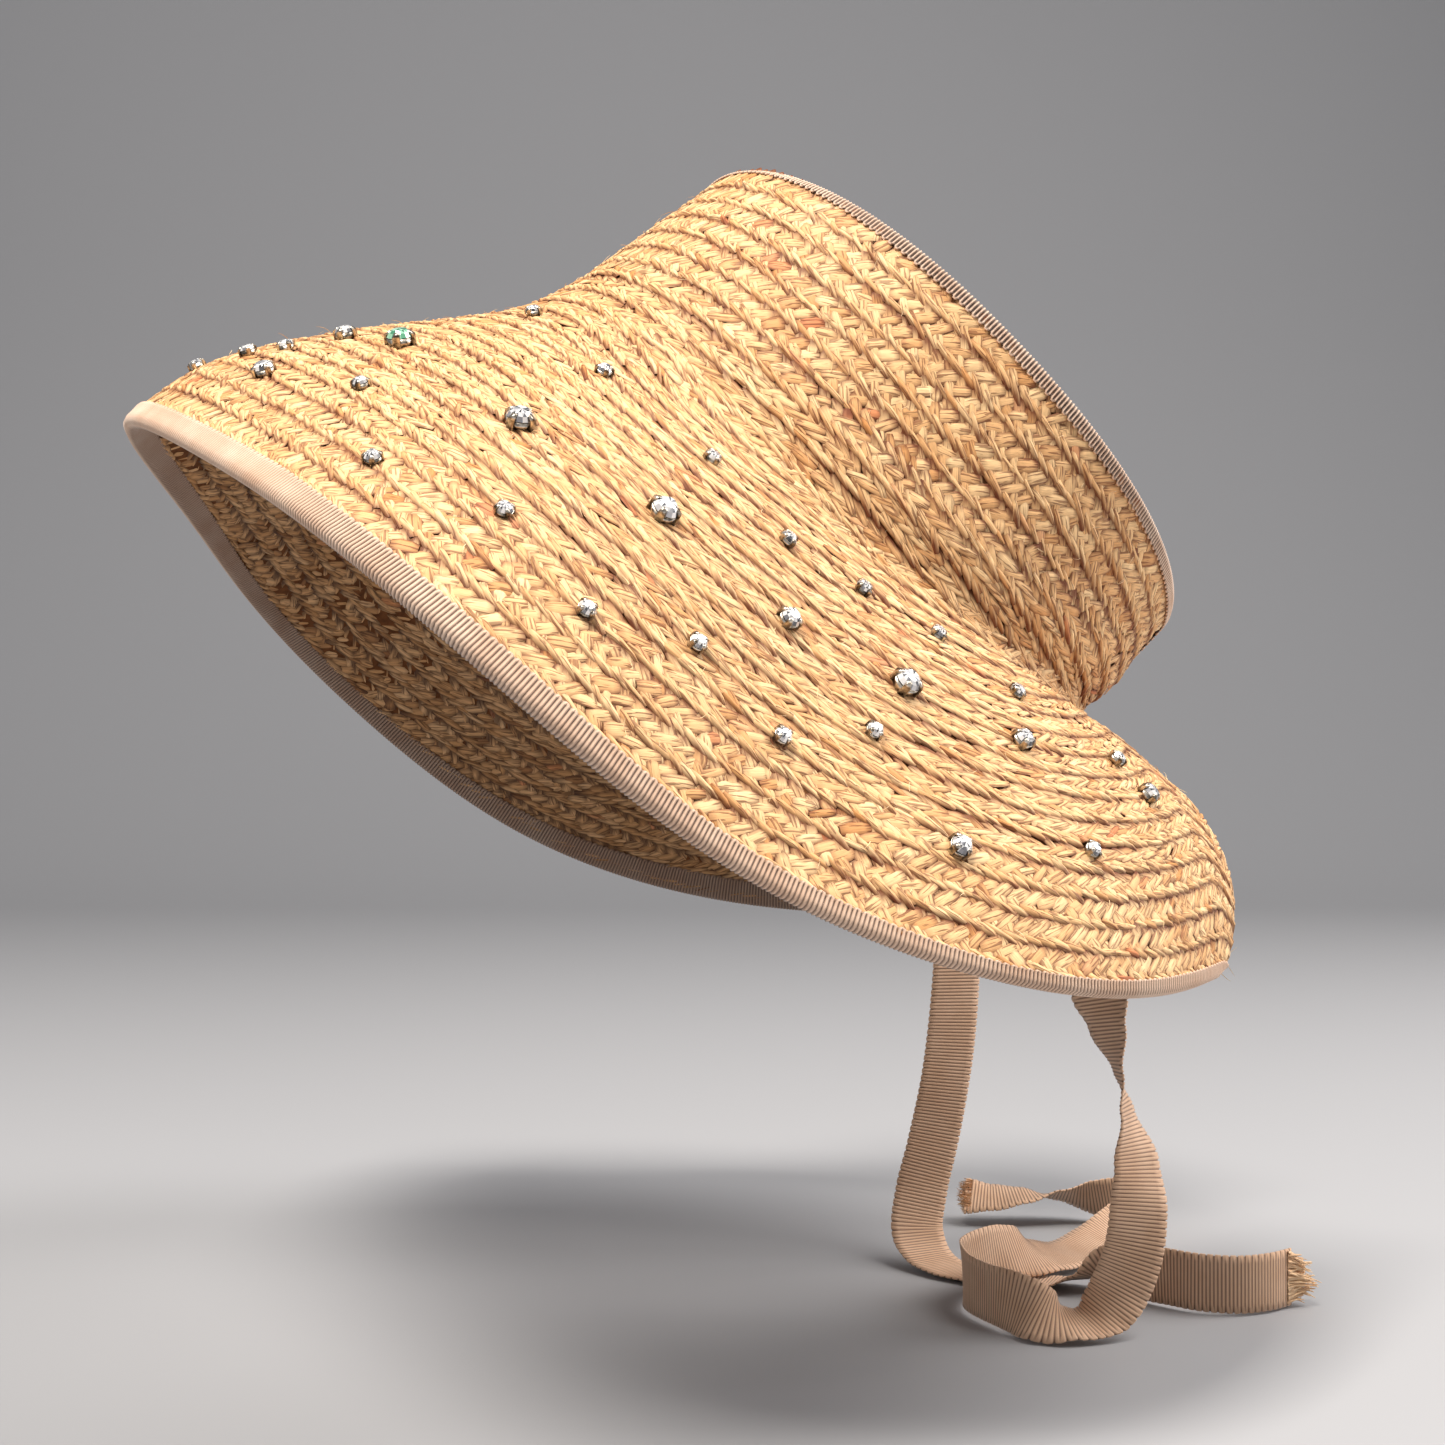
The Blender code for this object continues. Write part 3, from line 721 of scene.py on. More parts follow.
@dataclass(frozen=True)
class Grosgrain(Finish):
    """Cotton and rayon grosgrain ribbon, woven with thick weft ribs.

    The ribs catch the light one by one. The warp between them is painted shade: the colour mixes to
    the shade colour where the attribute rib is low.
    """

    rib: str = "d2aa8a"
    shade: str = "4a2c1c"
    warm: str = "dfba9c"
    cloud_mm: float = 100.0 / 9.0
    thread_mm: float = 0.25
    roughness: float = 0.7

    def nodes(self, tree: NodeTree) -> dict[str | int, object]:
        """Add the nodes. The attribute rib is 1 on a rib's crest and low where shade is painted.

        Args:
            tree: The material's node tree.

        Returns:
            The shader's values and links.
        """
        place = add_node(tree, "TexCoord", {}, "Object")
        cloud, thread = (
            add_node(tree, "TexNoise", {"Scale": 1.0 / (size * MM), "Detail": 2.0, "Vector": place})
            for size in (self.cloud_mm, self.thread_mm)
        )
        rib = add_node(tree, "Attribute", {"attribute_name": "rib"}, "Fac")
        ramp = {"Fac": cloud, "stops": ((0.3, self.rib), (0.7, self.warm))}
        mixed = {"data_type": "RGBA", 0: rib, 6: self.shade, 7: add_node(tree, "ValToRGB", ramp)}
        relief = {"Strength": 0.35, "Distance": 0.0002, "Height": thread}
        return {
            "Base Color": add_node(tree, "Mix", mixed, 2),
            "Normal": add_node(tree, "Bump", relief),
            "Roughness": self.roughness,
            "Sheen Weight": 0.25,
            "Sheen Roughness": 0.4,
        }


@dataclass(frozen=True)
class FoiledGlass(Finish):
    """Lead glass cut with facets and backed with silver foil.

    Each of its faces throws back one patch of the room; that reflection is painted, as a random
    dark, grey or white colour for each face.
    """

    name: str = "foiled_glass"
    dark: str = "1c1c20"
    grey: str = "9a9ca4"
    bright: str = "ffffff"

    def nodes(self, tree: NodeTree) -> dict[str | int, object]:
        """Add the nodes. A random number on each face picks its painted reflection: dark, grey or
        white.

        Args:
            tree: The material's node tree.

        Returns:
            The shader's values and links.
        """
        facet = add_node(tree, "Attribute", {"attribute_name": "facet"}, "Fac")
        stops = ((0.0, self.dark), (0.35, self.grey), (0.6, self.bright), (1.0, self.bright))
        return {
            "Base Color": add_node(tree, "ValToRGB", {"Fac": facet, "stops": stops}),
            "Metallic": 0.35,
            "Roughness": 0.08,
            "Coat Weight": 1.0,
            "Coat Roughness": 0.02,
        }


@dataclass(frozen=True)
class PlatedBrass(Finish):
    """Stamped brass cups with worn nickel plating, which shows as greyed, dark silver."""

    name: str = "nickel_plated_brass"
    plate: str = "ddd4c6"
    tarnish: str = "564e44"
    wear_mm: float = 10.0 / 7.0

    def nodes(self, tree: NodeTree) -> dict[str | int, object]:
        """Add the nodes.

        Args:
            tree: The material's node tree.

        Returns:
            The shader's values and links.
        """
        place = add_node(tree, "TexCoord", {}, "Object")
        look = {"Scale": 1.0 / (self.wear_mm * MM), "Detail": 3.0, "Vector": place}
        stops = ((0.35, self.tarnish), (0.6, self.plate))
        ramp = {"Fac": add_node(tree, "TexNoise", look), "stops": stops}
        return {"Base Color": add_node(tree, "ValToRGB", ramp), "Metallic": 1.0, "Roughness": 0.34}


@dataclass(frozen=True)
class PaintedBoard(Finish):
    """The pale matt board that the scene stands on."""

    name: str = "painted_board"
    colour: str = "a2a3a7"

    def nodes(self, tree: NodeTree) -> dict[str | int, object]:
        """Give the shader its plain colour."""
        return {"Base Color": self.colour, "Roughness": 0.7}


# Straw


@dataclass(frozen=True)
class PlaitLevel:
    """One line of strands along a row of plait, wide open at the edge and tight at the neck.

    Attributes:
        across: Place across the row.
        slant: Angle of the strands to the row, degrees, open and tight.
        length: Length of the strand that shows, open and tight.
        width: Its width, open and tight.
        base: Height of its middle above the wall.
        shift: Place of its first strand along the row, as a share of the step.
        depth: How far its sides and ends go down from its middle.
    """

    across: float
    slant: Pair
    length: Pair
    width: Pair
    base: float
    shift: float
    depth: float


OUTER_LEVELS = (
    PlaitLevel(0.9, (46.0, 16.0), (5.6, 7.6), (4.1, 2.3), 0.36, 0.5, 0.34),
    PlaitLevel(3.0, (-45.0, -15.0), (7.0, 8.0), (3.8, 2.3), 0.56, 0.0, 0.36),
    PlaitLevel(4.9, (43.0, 14.0), (5.4, 7.8), (3.7, 2.3), 0.48, 0.55, 0.38),
    PlaitLevel(6.5, (18.0, 16.0), (8.0, 8.2), (2.1, 2.0), 0.84, 0.3, 0.80),
)
UNDER_LEVELS = (
    PlaitLevel(1.0, (-42.0, -30.0), (7.4, 7.8), (4.4, 3.8), 0.30, 0.0, 0.4),
    PlaitLevel(3.9, (42.0, 30.0), (7.2, 7.6), (4.4, 3.8), 0.42, 0.5, 0.4),
    PlaitLevel(6.4, (18.0, 18.0), (8.2, 8.2), (2.4, 2.4), 0.95, 0.2, 0.85),
)


@dataclass(frozen=True)
class PlaitLayer:
    """One mesh of plait: its name, its wall and face, and the signed degrees it covers."""

    name: str
    piece: StrawPiece
    face: StrawFace
    span: Pair = (-180.0, 180.0)


LAYERS = (
    PlaitLayer("brim_plait_left", StrawPiece.BRIM, StrawFace.OUTER, (0.0, 180.0)),
    PlaitLayer("brim_plait_right", StrawPiece.BRIM, StrawFace.OUTER, (-180.0, 0.0)),
    PlaitLayer("crown_plait", StrawPiece.CROWN, StrawFace.OUTER),
    PlaitLayer("brim_plait_under", StrawPiece.BRIM, StrawFace.UNDER),
    PlaitLayer("crown_plait_inside", StrawPiece.CROWN, StrawFace.UNDER),
)


@dataclass(frozen=True)
class Laps:
    """How far the ribbon laps over each face of the straw, by degrees from the front."""

    ribbon: float = 11.0
    crown: tuple[Pair, ...] = (
        (0.0, 0.5), (25.0, 0.8), (45.0, 2.2), (60.0, 3.4), (100.0, 3.6), (161.0, 2.8),
    )
    brim: tuple[Pair, ...] = (
        (0.0, 5.0), (20.0, 5.4), (42.0, 6.2), (70.0, 5.2), (95.0, 3.6), (115.0, 2.0),
        (135.0, 2.8), (168.0, 2.6),
    )

    def outer(self, piece: StrawPiece, phi: Array) -> Array:
        """Find the lap over the outer face."""
        degrees, laps = zip(*(self.crown if piece is StrawPiece.CROWN else self.brim))
        return np.interp(np.degrees(np.abs(phi)), degrees, laps)


@dataclass(frozen=True)
class Unevenness:
    """How much handwork varies: standard deviations in mm, degrees or shares."""

    step: float = 0.2
    line: float = 0.18
    tightness: float = 0.12
    slant: float = 7.5
    length: float = 0.12
    width: float = 0.13
    tilt: float = 0.09
    height: float = 0.10
    tone: float = 0.22


@dataclass(frozen=True)
class BraidedStraw:
    """Rows of sewn raffia plait over the straw walls."""

    sheet: StrawSheet
    laps: Laps
    pitch: float = 7.5
    strand_step: float = 4.4
    tuck: float = 0.8
    open_rows: Pair = (19.0, 34.0)
    neck_rows: Pair = (26.0, 14.0)
    seam_overlap: float = 2.6
    end_gap: float = 0.01
    waves: tuple[tuple[float, float, float], ...] = ((0.30, 23.0, 1.7), (0.2, 8.1, 2.9))
    swell_width: float = 30.0
    swell_sides: Pair = (50.0, 35.0)
    crown_swell: float = 2.0
    brim_swell: float = 1.0
    lie: float = 0.1
    middle_tone: float = 0.60
    rust_share: float = 0.014
    rust_strength: Pair = (0.2, 0.75)
    pattern_mm: float = 90.0
    vary: Unevenness = Unevenness()
    seed: int = 11

    def strand(self, face: StrawFace) -> tuple[Array, Array]:
        """Shape one strand as a flat pillow that narrows and dives at both ends.

        Args:
            face: Face of the straw that it lies on.

        Returns:
            Its points, from -1 to 1 along and across with height 0 to 1, and its faces.
        """
        points, faces = small_grid(3, 4 if face is StrawFace.OUTER else 2)
        tip = np.abs(points[:, 0]) > 0.9
        points[:, 2] = 1.0 - np.abs(points[:, 1]) ** 3
        points[:, 2] = np.where(tip, 0.45 * points[:, 2] - 0.15, points[:, 2])
        points[:, 1] *= np.where(tip, 0.72, 1.0)
        points[:, 0] *= np.where(tip, 1.0, 1.35)
        return points, faces

    def build(self, layer: PlaitLayer, finish: Material) -> Piece:
        """Lay the plait over one face of one wall.

        Args:
            layer: What to lay.
            finish: Its material.

        Returns:
            The piece.
        """
        outer = layer.face is StrawFace.OUTER
        rng = np.random.default_rng(self.seed + len(layer.name))
        template, quads = self.strand(layer.face)
        longest = float(self.sheet.lengths[layer.piece].max())
        parts = [
            self.strands_of(layer, level, row, rng, template)
            for row in range(int(longest / self.pitch) + 1)
            for level in (OUTER_LEVELS if outer else UNDER_LEVELS)
        ]
        laid = zip(*(part for part in parts if part is not None))
        points, tones, crests, rusts, uvs = (np.concatenate(part) for part in laid)
        quads = quads if outer else quads[:, ::-1]
        mesh, faces = repeated_mesh(layer.name, self.sheet.shape.placed(points), quads)
        for key, values in (("tone", tones), ("crest", crests), ("rust", rusts)):
            set_attribute(mesh, key, values.ravel())
        uv_map = mesh.uv_layers.new(name="UVMap")
        uv_map.uv.foreach_set("vector", uvs.reshape(-1, 2)[faces.ravel()].ravel())
        return new_piece(layer.name, mesh, finish)

    def row_of(self, piece: StrawPiece, phi: Array, offset: float) -> Array:
        """Find the sheet's row for a line that runs along the binding.

        Args:
            piece: Crown or brim.
            phi: Signed angles, radians.
            offset: Distance from the ribbon's inner edge.

        Returns:
            The sheet's row at each angle.
        """
        inward = self.laps.outer(piece, phi) - self.tuck + offset
        edge = self.sheet.edge(piece, phi)
        return edge - inward if piece is StrawPiece.BRIM else edge + inward

    def swell(self, piece: StrawPiece, phi: Array, from_seam: Array) -> Array:
        """Raise the rows beside the crease at the sides of the neck.

        Args:
            piece: Crown or brim.
            phi: Signed angles, radians.
            from_seam: Distance from the seam.

        Returns:
            Extra height at each place.
        """
        top = self.crown_swell if piece is StrawPiece.CROWN else self.brim_swell
        at_side = ease_in(np.degrees(np.abs(phi)), *self.swell_sides)
        return top * at_side * np.sin(math.pi * ease_in(from_seam, 0.0, self.swell_width)) ** 2

    def strands_of(
        self, layer: PlaitLayer, level: PlaitLevel, row: int, rng: np.random.Generator,
        template: Array,
    ) -> tuple[Array, ...] | None:
        """Lay one level of strands along one row.

        Args:
            layer: The mesh that they are for.
            level: The level of the plait.
            row: Number of the row, from the edge.
            rng: Seeded random numbers.
            template: Points of one strand.

        Returns:
            Points, tones, crests, rusts and UVs by strand and point, or None where no
            strand lies.
        """
        piece, vary, brim = layer.piece, self.vary, layer.piece is StrawPiece.BRIM
        offset = row * self.pitch + (self.pitch - level.across if brim else level.across)
        length = float(self.sheet.lengths[piece][-20])
        share = np.array([max(0.0, 1.0 - offset / length)])
        last = float(self.sheet.shape.end_angle(piece, share)[0]) - self.end_gap
        phis = np.linspace(-last, last, 900)
        run = run_along(self.sheet.surface(phis, self.row_of(piece, phis, offset), 0.0 * phis))
        count = int(run[-1] / self.strand_step)
        along = (np.arange(count) + level.shift) * self.strand_step
        along = along + rng.normal(0, vary.step, count)
        phi = np.interp(along, run, phis)
        middle = self.row_of(piece, phi, offset)
        start, stop = np.radians(layer.span)
        inside = (phi > start) & (phi <= stop)
        inside &= middle > -self.seam_overlap if brim else middle < self.seam_overlap
        if not inside.any():
            return None
        phi, along, count = phi[inside], along[inside], int(inside.sum())
        wave = sum(high * np.sin(along / long + turn * row) for high, long, turn in self.waves)
        wave = wave + rng.normal(0.0, vary.line, count)
        speed = np.interp(phi, phis, np.gradient(run, phis))
        from_seam = np.abs(middle[inside])
        low, high = self.open_rows
        near, span = self.neck_rows
        tight = ease_in(offset, low, high - low) if brim else ease_in(-from_seam, -near, span)
        tight = np.clip(tight + rng.normal(0.0, vary.tightness, count), 0.0, 1.0)
        slant, long, wide = (
            pair[0] + (pair[1] - pair[0]) * tight
            for pair in (level.slant, level.length, level.width)
        )
        turn = np.radians(slant + rng.normal(0.0, vary.slant, count))[:, None]
        long = (0.5 * long * rng.normal(1.0, vary.length, count))[:, None]
        wide = (0.5 * wide * rng.normal(1.0, vary.width, count))[:, None]
        p, q, h = template[None, :, 0], template[None, :, 1], template[None, :, 2]
        dx = p * long * np.cos(turn) - q * wide * np.sin(turn)
        dy = p * long * np.sin(turn) + q * wide * np.cos(turn)
        tilt = rng.normal(0.0, vary.tilt, (2, count, 1))
        rise = level.base + rng.normal(0.0, vary.height, count)[:, None]
        lift = rise + (h - 1.0) * level.depth + p * tilt[0] + q * tilt[1] + self.lie
        if layer.face is StrawFace.OUTER:
            lift = lift + self.swell(piece, phi, from_seam)[:, None]
        else:
            lift = -self.sheet.shape.straw_wall - lift
        place_phi = phi[:, None] + dx / speed[:, None]
        rows = self.row_of(piece, place_phi, offset) + dy + wave[:, None]
        places = self.sheet.surface(place_phi, rows, lift)
        tone = np.clip(rng.normal(self.middle_tone, vary.tone, count), 0.0, 1.0)[:, None]
        rusty = rng.random(count) < self.rust_share
        rust = rusty * rng.uniform(*self.rust_strength, count)
        # Painted shade: the crest attribute falls at the row's two sides, where they lie in the
        # grooves, and at a strand's sides and ends, so the colour darkens there toward the groove
        # shade colour.
        local = level.across + dy
        groove_shade = ease_in(local, 0.1, 1.1) * ease_in(-local, -self.pitch - 0.25, 0.8)
        crest = np.clip(0.25 + 0.95 * h, 0.0, 1.0) * (0.15 + 0.85 * groove_shade)
        u = p * long + rng.uniform(0.0, self.pattern_mm, count)[:, None]
        v = q * wide + rng.uniform(0.0, self.pattern_mm, count)[:, None]
        flat = np.ones_like(p)
        return places, tone * flat, crest, rust[:, None] * flat, np.stack([u, v], -1)


# Ribbon


@dataclass(frozen=True)
class Binding:
    """Ribbon with hairpin loops along its selvage, folded over a straw wall's edge."""

    sheet: StrawSheet
    piece: StrawPiece
    laps: Laps
    loop_pitch: float = 2.3
    samples: int = 8
    stand: float = 0.55
    ride: float = 0.5
    thickness: float = 0.4
    rib_height: float = 0.32
    slit_depth: float = 0.45
    loop_reach: float = 1.1
    loop_share: float = 0.8
    # Painted shade: the share of the ribbon's colour kept on the inner lap, which is darkened for
    # the shade under the wall.
    inside_painted_shade: float = 0.45
    gap_width: float = 2.2

    def path(self) -> tuple[Array, Array]:
        """Follow the wall's edge and its two ends at the open back.

        Returns:
            Signed angles and rows of the sheet, evenly spaced along the edge.
        """
        share = np.linspace(0.0, 1.0, 160) ** 0.8
        end = self.sheet.shape.end_angle(self.piece, share)
        rows_end = share * self.sheet.edge(self.piece, end)
        outer = np.linspace(end[-1], 0.0, 500)[1:]
        half_phi = np.concatenate([end, outer])
        half_rows = np.concatenate([rows_end, self.sheet.edge(self.piece, outer)])
        phi = np.concatenate([half_phi, -half_phi[::-1][1:]])
        rows = np.concatenate([half_rows, half_rows[::-1][1:]])
        run = run_along(self.sheet.surface(phi, rows, 0.0 * phi))
        loops = int(run[-1] / self.loop_pitch)
        even = np.linspace(0.0, run[-1], loops * self.samples + 1)
        return np.interp(even, run, phi), np.interp(even, run, rows)

    def inward(self, phi: Array, rows: Array, out: Array) -> Array:
        """Find the change of angle and row for each mm straight in from the edge.

        Args:
            phi: Signed angles along the edge.
            rows: Rows along the edge.
            out: Outward directions in the surface.

        Returns:
            Changes of angle and row.
        """
        still = 0.0 * phi
        surface = self.sheet.surface
        by_phi = (surface(phi + 0.002, rows, still) - surface(phi - 0.002, rows, still)) / 0.004
        by_row = surface(phi, rows + 0.5, still) - surface(phi, rows - 0.5, still)
        aa, bb = (by_phi * by_phi).sum(-1), (by_row * by_row).sum(-1)
        ab = (by_phi * by_row).sum(-1)
        ta, tb = -(out * by_phi).sum(-1), -(out * by_row).sum(-1)
        det = aa * bb - ab**2
        return np.stack([(ta * bb - tb * ab) / det, (tb * aa - ta * ab) / det], -1)

    def profile(self) -> Array:
        """Draw the fold's cross-section.

        Returns:
            Rows of outer lap share, inner lap share, reach past the edge, height over the
            wall's middle, and depth of the slits between the ribs, 0 to 1.
        """
        high = self.sheet.shape.straw_wall / 2.0 + self.stand
        outer = [(k, 0.0, 0.0, high + self.ride * k * k, slit) for k, slit in
                 ((1.0, 1.0), (0.84, 1.0), (0.6, 1.0), (0.34, 0.9), (0.1, 0.8))]
        turn = [(0.0, 0.0, 0.95 * math.sin(a), high * math.cos(a), 0.6) for a in
                (0.75, 1.57, 2.39)]
        under = [(0.0, k, 0.0, -high, slit) for k, slit in
                 ((0.06, 0.7), (0.5, 0.9), (0.88, 1.0), (1.0, 1.0))]
        return np.array(outer + turn + under)

    def build(self, finish: Material) -> Piece:
        """Make the ribbon.

        Args:
            finish: Its material.

        Returns:
            The piece.
        """
        phi, rows = self.path()
        half_wall = self.sheet.shape.straw_wall / 2.0
        line = self.sheet.surface(phi, rows, 0.0 * phi - half_wall)
        out = unit(np.cross(unit(np.gradient(line, axis=0)), self.sheet.normal(phi, rows)))
        probe = self.sheet.surface(phi * 0.9, rows * 0.5, 0.0 * phi) - line
        out *= -np.sign((out * probe).sum(-1, keepdims=True))
        go = self.inward(phi, rows, out)
        profile = self.profile()
        columns, last = len(phi) - 1, len(profile) - 1
        i, j = numbered(columns, last)
        rim = (j == 0) | (j == last)
        phase = (i % self.samples) / self.samples
        crest = np.sin(2.0 * math.pi * phase) ** 2
        loop = np.sqrt(np.sin(math.pi * phase))
        share_out, share_in, past, lift, slit = profile[j].T
        outer_lap = self.laps.outer(self.piece, phi)[i]
        depth = share_out * outer_lap + share_in * (self.laps.ribbon - outer_lap)
        depth = depth + np.where(rim, self.loop_reach * (loop - self.loop_share), 0.0)
        height = np.where(rim, self.loop_share * loop, crest)
        rise = self.rib_height * height * (0.35 + 0.65 * slit)
        rise = rise - self.slit_depth * slit * (1.0 - height)
        grown = 1.0 + rise / (np.hypot(past, lift) + 1e-9)
        places = (phi[i] + go[i, 0] * depth, rows[i] + go[i, 1] * depth)
        points = self.sheet.surface(*places, lift * grown - half_wall)
        points = self.sheet.shape.placed(points + out[i] * (past * grown)[:, None])
        name = self.piece.value + "_ribbon_binding"
        mesh = shaped_grid(name, columns, last, points, flip=True)
        # Painted shade: the rib attribute is low in the grooves between ribs and in the gaps
        # between loops, more where the slits are deep, and the gap width power widens these dark
        # bands.
        shown = np.where(rim, loop, crest)
        shown = shown + (1.0 - shown) * 0.5 * (1.0 - slit)
        # Painted shade: the inner lap, below the wall's middle, is darkened by the factor above.
        worn = np.where(lift < 0.0, self.inside_painted_shade, 1.0)
        set_attribute(mesh, "rib", worn * shown**self.gap_width)
        piece = new_piece(name, mesh, finish)
        add_wall(piece, self.thickness, -1.0)
        return piece


@dataclass(frozen=True)
class RibbonTie:
    """One grosgrain tie, along the CAD tie's own route. Its weft turns at each selvage."""

    name: str
    node: str
    route: tuple[tuple[float, ...], ...]
    width: float = 16.0
    rib_pitch: float = 1.12
    samples_per_rib: int = 3
    rows: int = 8
    thickness: float = 0.5
    rib_height: float = 0.22
    scallop: float = 0.5
    notch: float = -0.6
    bead_height: float = 0.12
    # Painted shade: the rib attribute in the grooves between ribs.
    groove_shade: float = 0.16
    path_step: int = 16

    def line(self) -> tuple[Array, Array, Array, float]:
        """Smooth the route.

        Returns:
            Centres, directions across and along, and the whole length.
        """
        rows = np.array(self.route, float)
        points, turns = rows[:, :3], unit(rows[:, 3:])
        spans = np.linalg.norm(np.diff(points, axis=0), axis=1)
        slopes = np.empty_like(points)
        chords = np.diff(points, axis=0) / spans[:, None]
        share = (spans[:-1] / (spans[:-1] + spans[1:]))[:, None]
        slopes[1:-1] = chords[:-1] * (1.0 - share) + chords[1:] * share
        slopes[0], slopes[-1] = chords[0], chords[-1]
        centres, acrosses = [], []
        for k, span in enumerate(spans):
            t = np.linspace(0.0, 1.0, 24, endpoint=k == len(spans) - 1)[:, None]
            m0, m1 = slopes[k] * span, slopes[k + 1] * span
            value = points[k] * (2 * t**3 - 3 * t**2 + 1) + m0 * (t**3 - 2 * t**2 + t)
            value = value + points[k + 1] * (3 * t**2 - 2 * t**3) + m1 * (t**3 - t**2)
            centres.append(value)
            ease = t * t * (3.0 - 2.0 * t)
            acrosses.append(turns[k] * (1.0 - ease) + turns[k + 1] * ease)
        centre, across = np.concatenate(centres), np.concatenate(acrosses)
        run = run_along(centre)
        ribs = int(run[-1] / self.rib_pitch)
        even = np.linspace(0.0, run[-1], ribs * self.samples_per_rib + 1)
        centre, across = (
            np.stack([np.interp(even, run, table[:, k]) for k in range(3)], -1)
            for table in (centre, across)
        )
        along = unit(np.gradient(centre, axis=0))
        across = unit(across - along * (across * along).sum(-1, keepdims=True))
        return centre, across, along, float(run[-1])

    def build(self, finish: Material) -> Piece:
        """Args:
            finish: Its material.

        Returns:
            The piece.
        """
        centre, across, along, length = self.line()
        facing = np.cross(along, across)
        columns = len(centre) - 1
        i, j = numbered(columns, self.rows)
        side, rim = 2.0 * j / self.rows - 1.0, (j == 0) | (j == self.rows)
        crest = np.where(i == columns, 1.0, np.minimum(i % self.samples_per_rib, 1.0))
        joined = (i // self.samples_per_rib % 2 == 0) == (side > 0.0)
        bead = np.maximum(crest, np.where(joined, 1.0, self.notch))
        reach = side * (self.width / 2.0 + np.where(rim, self.scallop * bead, 0.0))
        rise = self.rib_height * (crest - 0.5) + np.where(rim, self.bead_height * bead, 0.0)
        points = (centre[i] + across[i] * reach[:, None] + facing[i] * rise[:, None]) * MM
        mesh = shaped_grid(self.name, columns, self.rows, points)
        # Painted shade: the rib attribute is low in the groove at each rib's edge and in the
        # notches between selvage loops.
        set_attribute(mesh, "rib", np.maximum(np.where(rim, joined, self.groove_shade), crest))
        piece = new_piece(self.name, mesh, finish)
        add_wall(piece, self.thickness, 0.0)
        keep(piece, "ribbon", self.node)
        LOG.info("%s: %.0f mm long", self.name, length)
        return piece


# Routes of the ties, the same rows as in the CAD part: centre and direction across.
NEAR_ROUTE = (
    (80.6, -43.3, -28.5, 0.35, 0.9, -0.27), (76.1, -40.3, -41.5, 0.35, 0.9, -0.25),
    (73.6, -37.3, -54.5, 0.3, 0.95, -0.1), (75.0, -36.0, -72.0, -0.2, 1.0, 0.0),
    (79.0, -37.0, -95.0, -0.55, 0.85, 0.0), (82.0, -38.5, -115.0, -0.8, 0.6, 0.0),
    (84.0, -40.0, -130.0, -0.75, 0.65, 0.0), (86.0, -41.0, -140.5, -0.25, 0.95, 0.0),
    (88.5, -43.0, -153.0, 0.25, 0.95, 0.0), (90.5, -45.0, -164.5, 0.6, 0.8, 0.0),
    (92.0, -48.0, -179.0, 0.95, 0.3, 0.0), (91.0, -51.0, -192.5, 1.0, -0.15, 0.0),
    (89.0, -51.5, -204.0, 0.95, -0.3, 0.0), (86.0, -51.0, -212.0, 0.85, -0.45, -0.25),
    (82.0, -50.5, -218.5, 0.6, -0.75, -0.3), (77.5, -50.5, -222.2, 0.25, -0.95, -0.22),
    (70.5, -51.0, -222.0, -0.05, -0.95, -0.3), (63.0, -49.5, -219.8, -0.25, -0.6, -0.75),
    (57.0, -42.5, -217.4, -0.1, -0.2, -1.0), (53.0, -31.0, -217.0, 0.0, 0.0, -1.0),
    (52.0, -17.0, -216.8, 0.0, 0.1, -1.0), (57.0, -4.0, -216.0, 0.1, -0.1, -1.0),
    (68.0, 5.0, -215.4, 0.1, -0.15, -1.0), (80.0, 11.0, -216.2, 0.15, -0.5, -0.8),
    (93.0, 19.0, -219.8, 0.3, -1.0, -0.4), (106.0, 28.0, -221.8, 0.5, -1.0, -0.25),
    (119.0, 37.0, -221.0, 0.7, -0.9, -0.4), (133.0, 47.0, -219.0, 0.7, -0.6, -0.7),
    (144.0, 59.0, -217.2, 0.4, 0.0, -0.95), (146.0, 72.0, -217.2, -0.1, 0.5, -0.9),
    (138.0, 82.0, -217.2, -0.3, 0.8, -0.6), (127.0, 87.0, -216.6, -0.2, 1.0, -0.35),
    (115.0, 90.0, -216.6, 0.0, 1.0, 0.1), (105.0, 93.0, -217.4, 0.1, 0.95, 0.32),
    (96.0, 97.0, -217.2, 0.0, 0.85, 0.52),
)
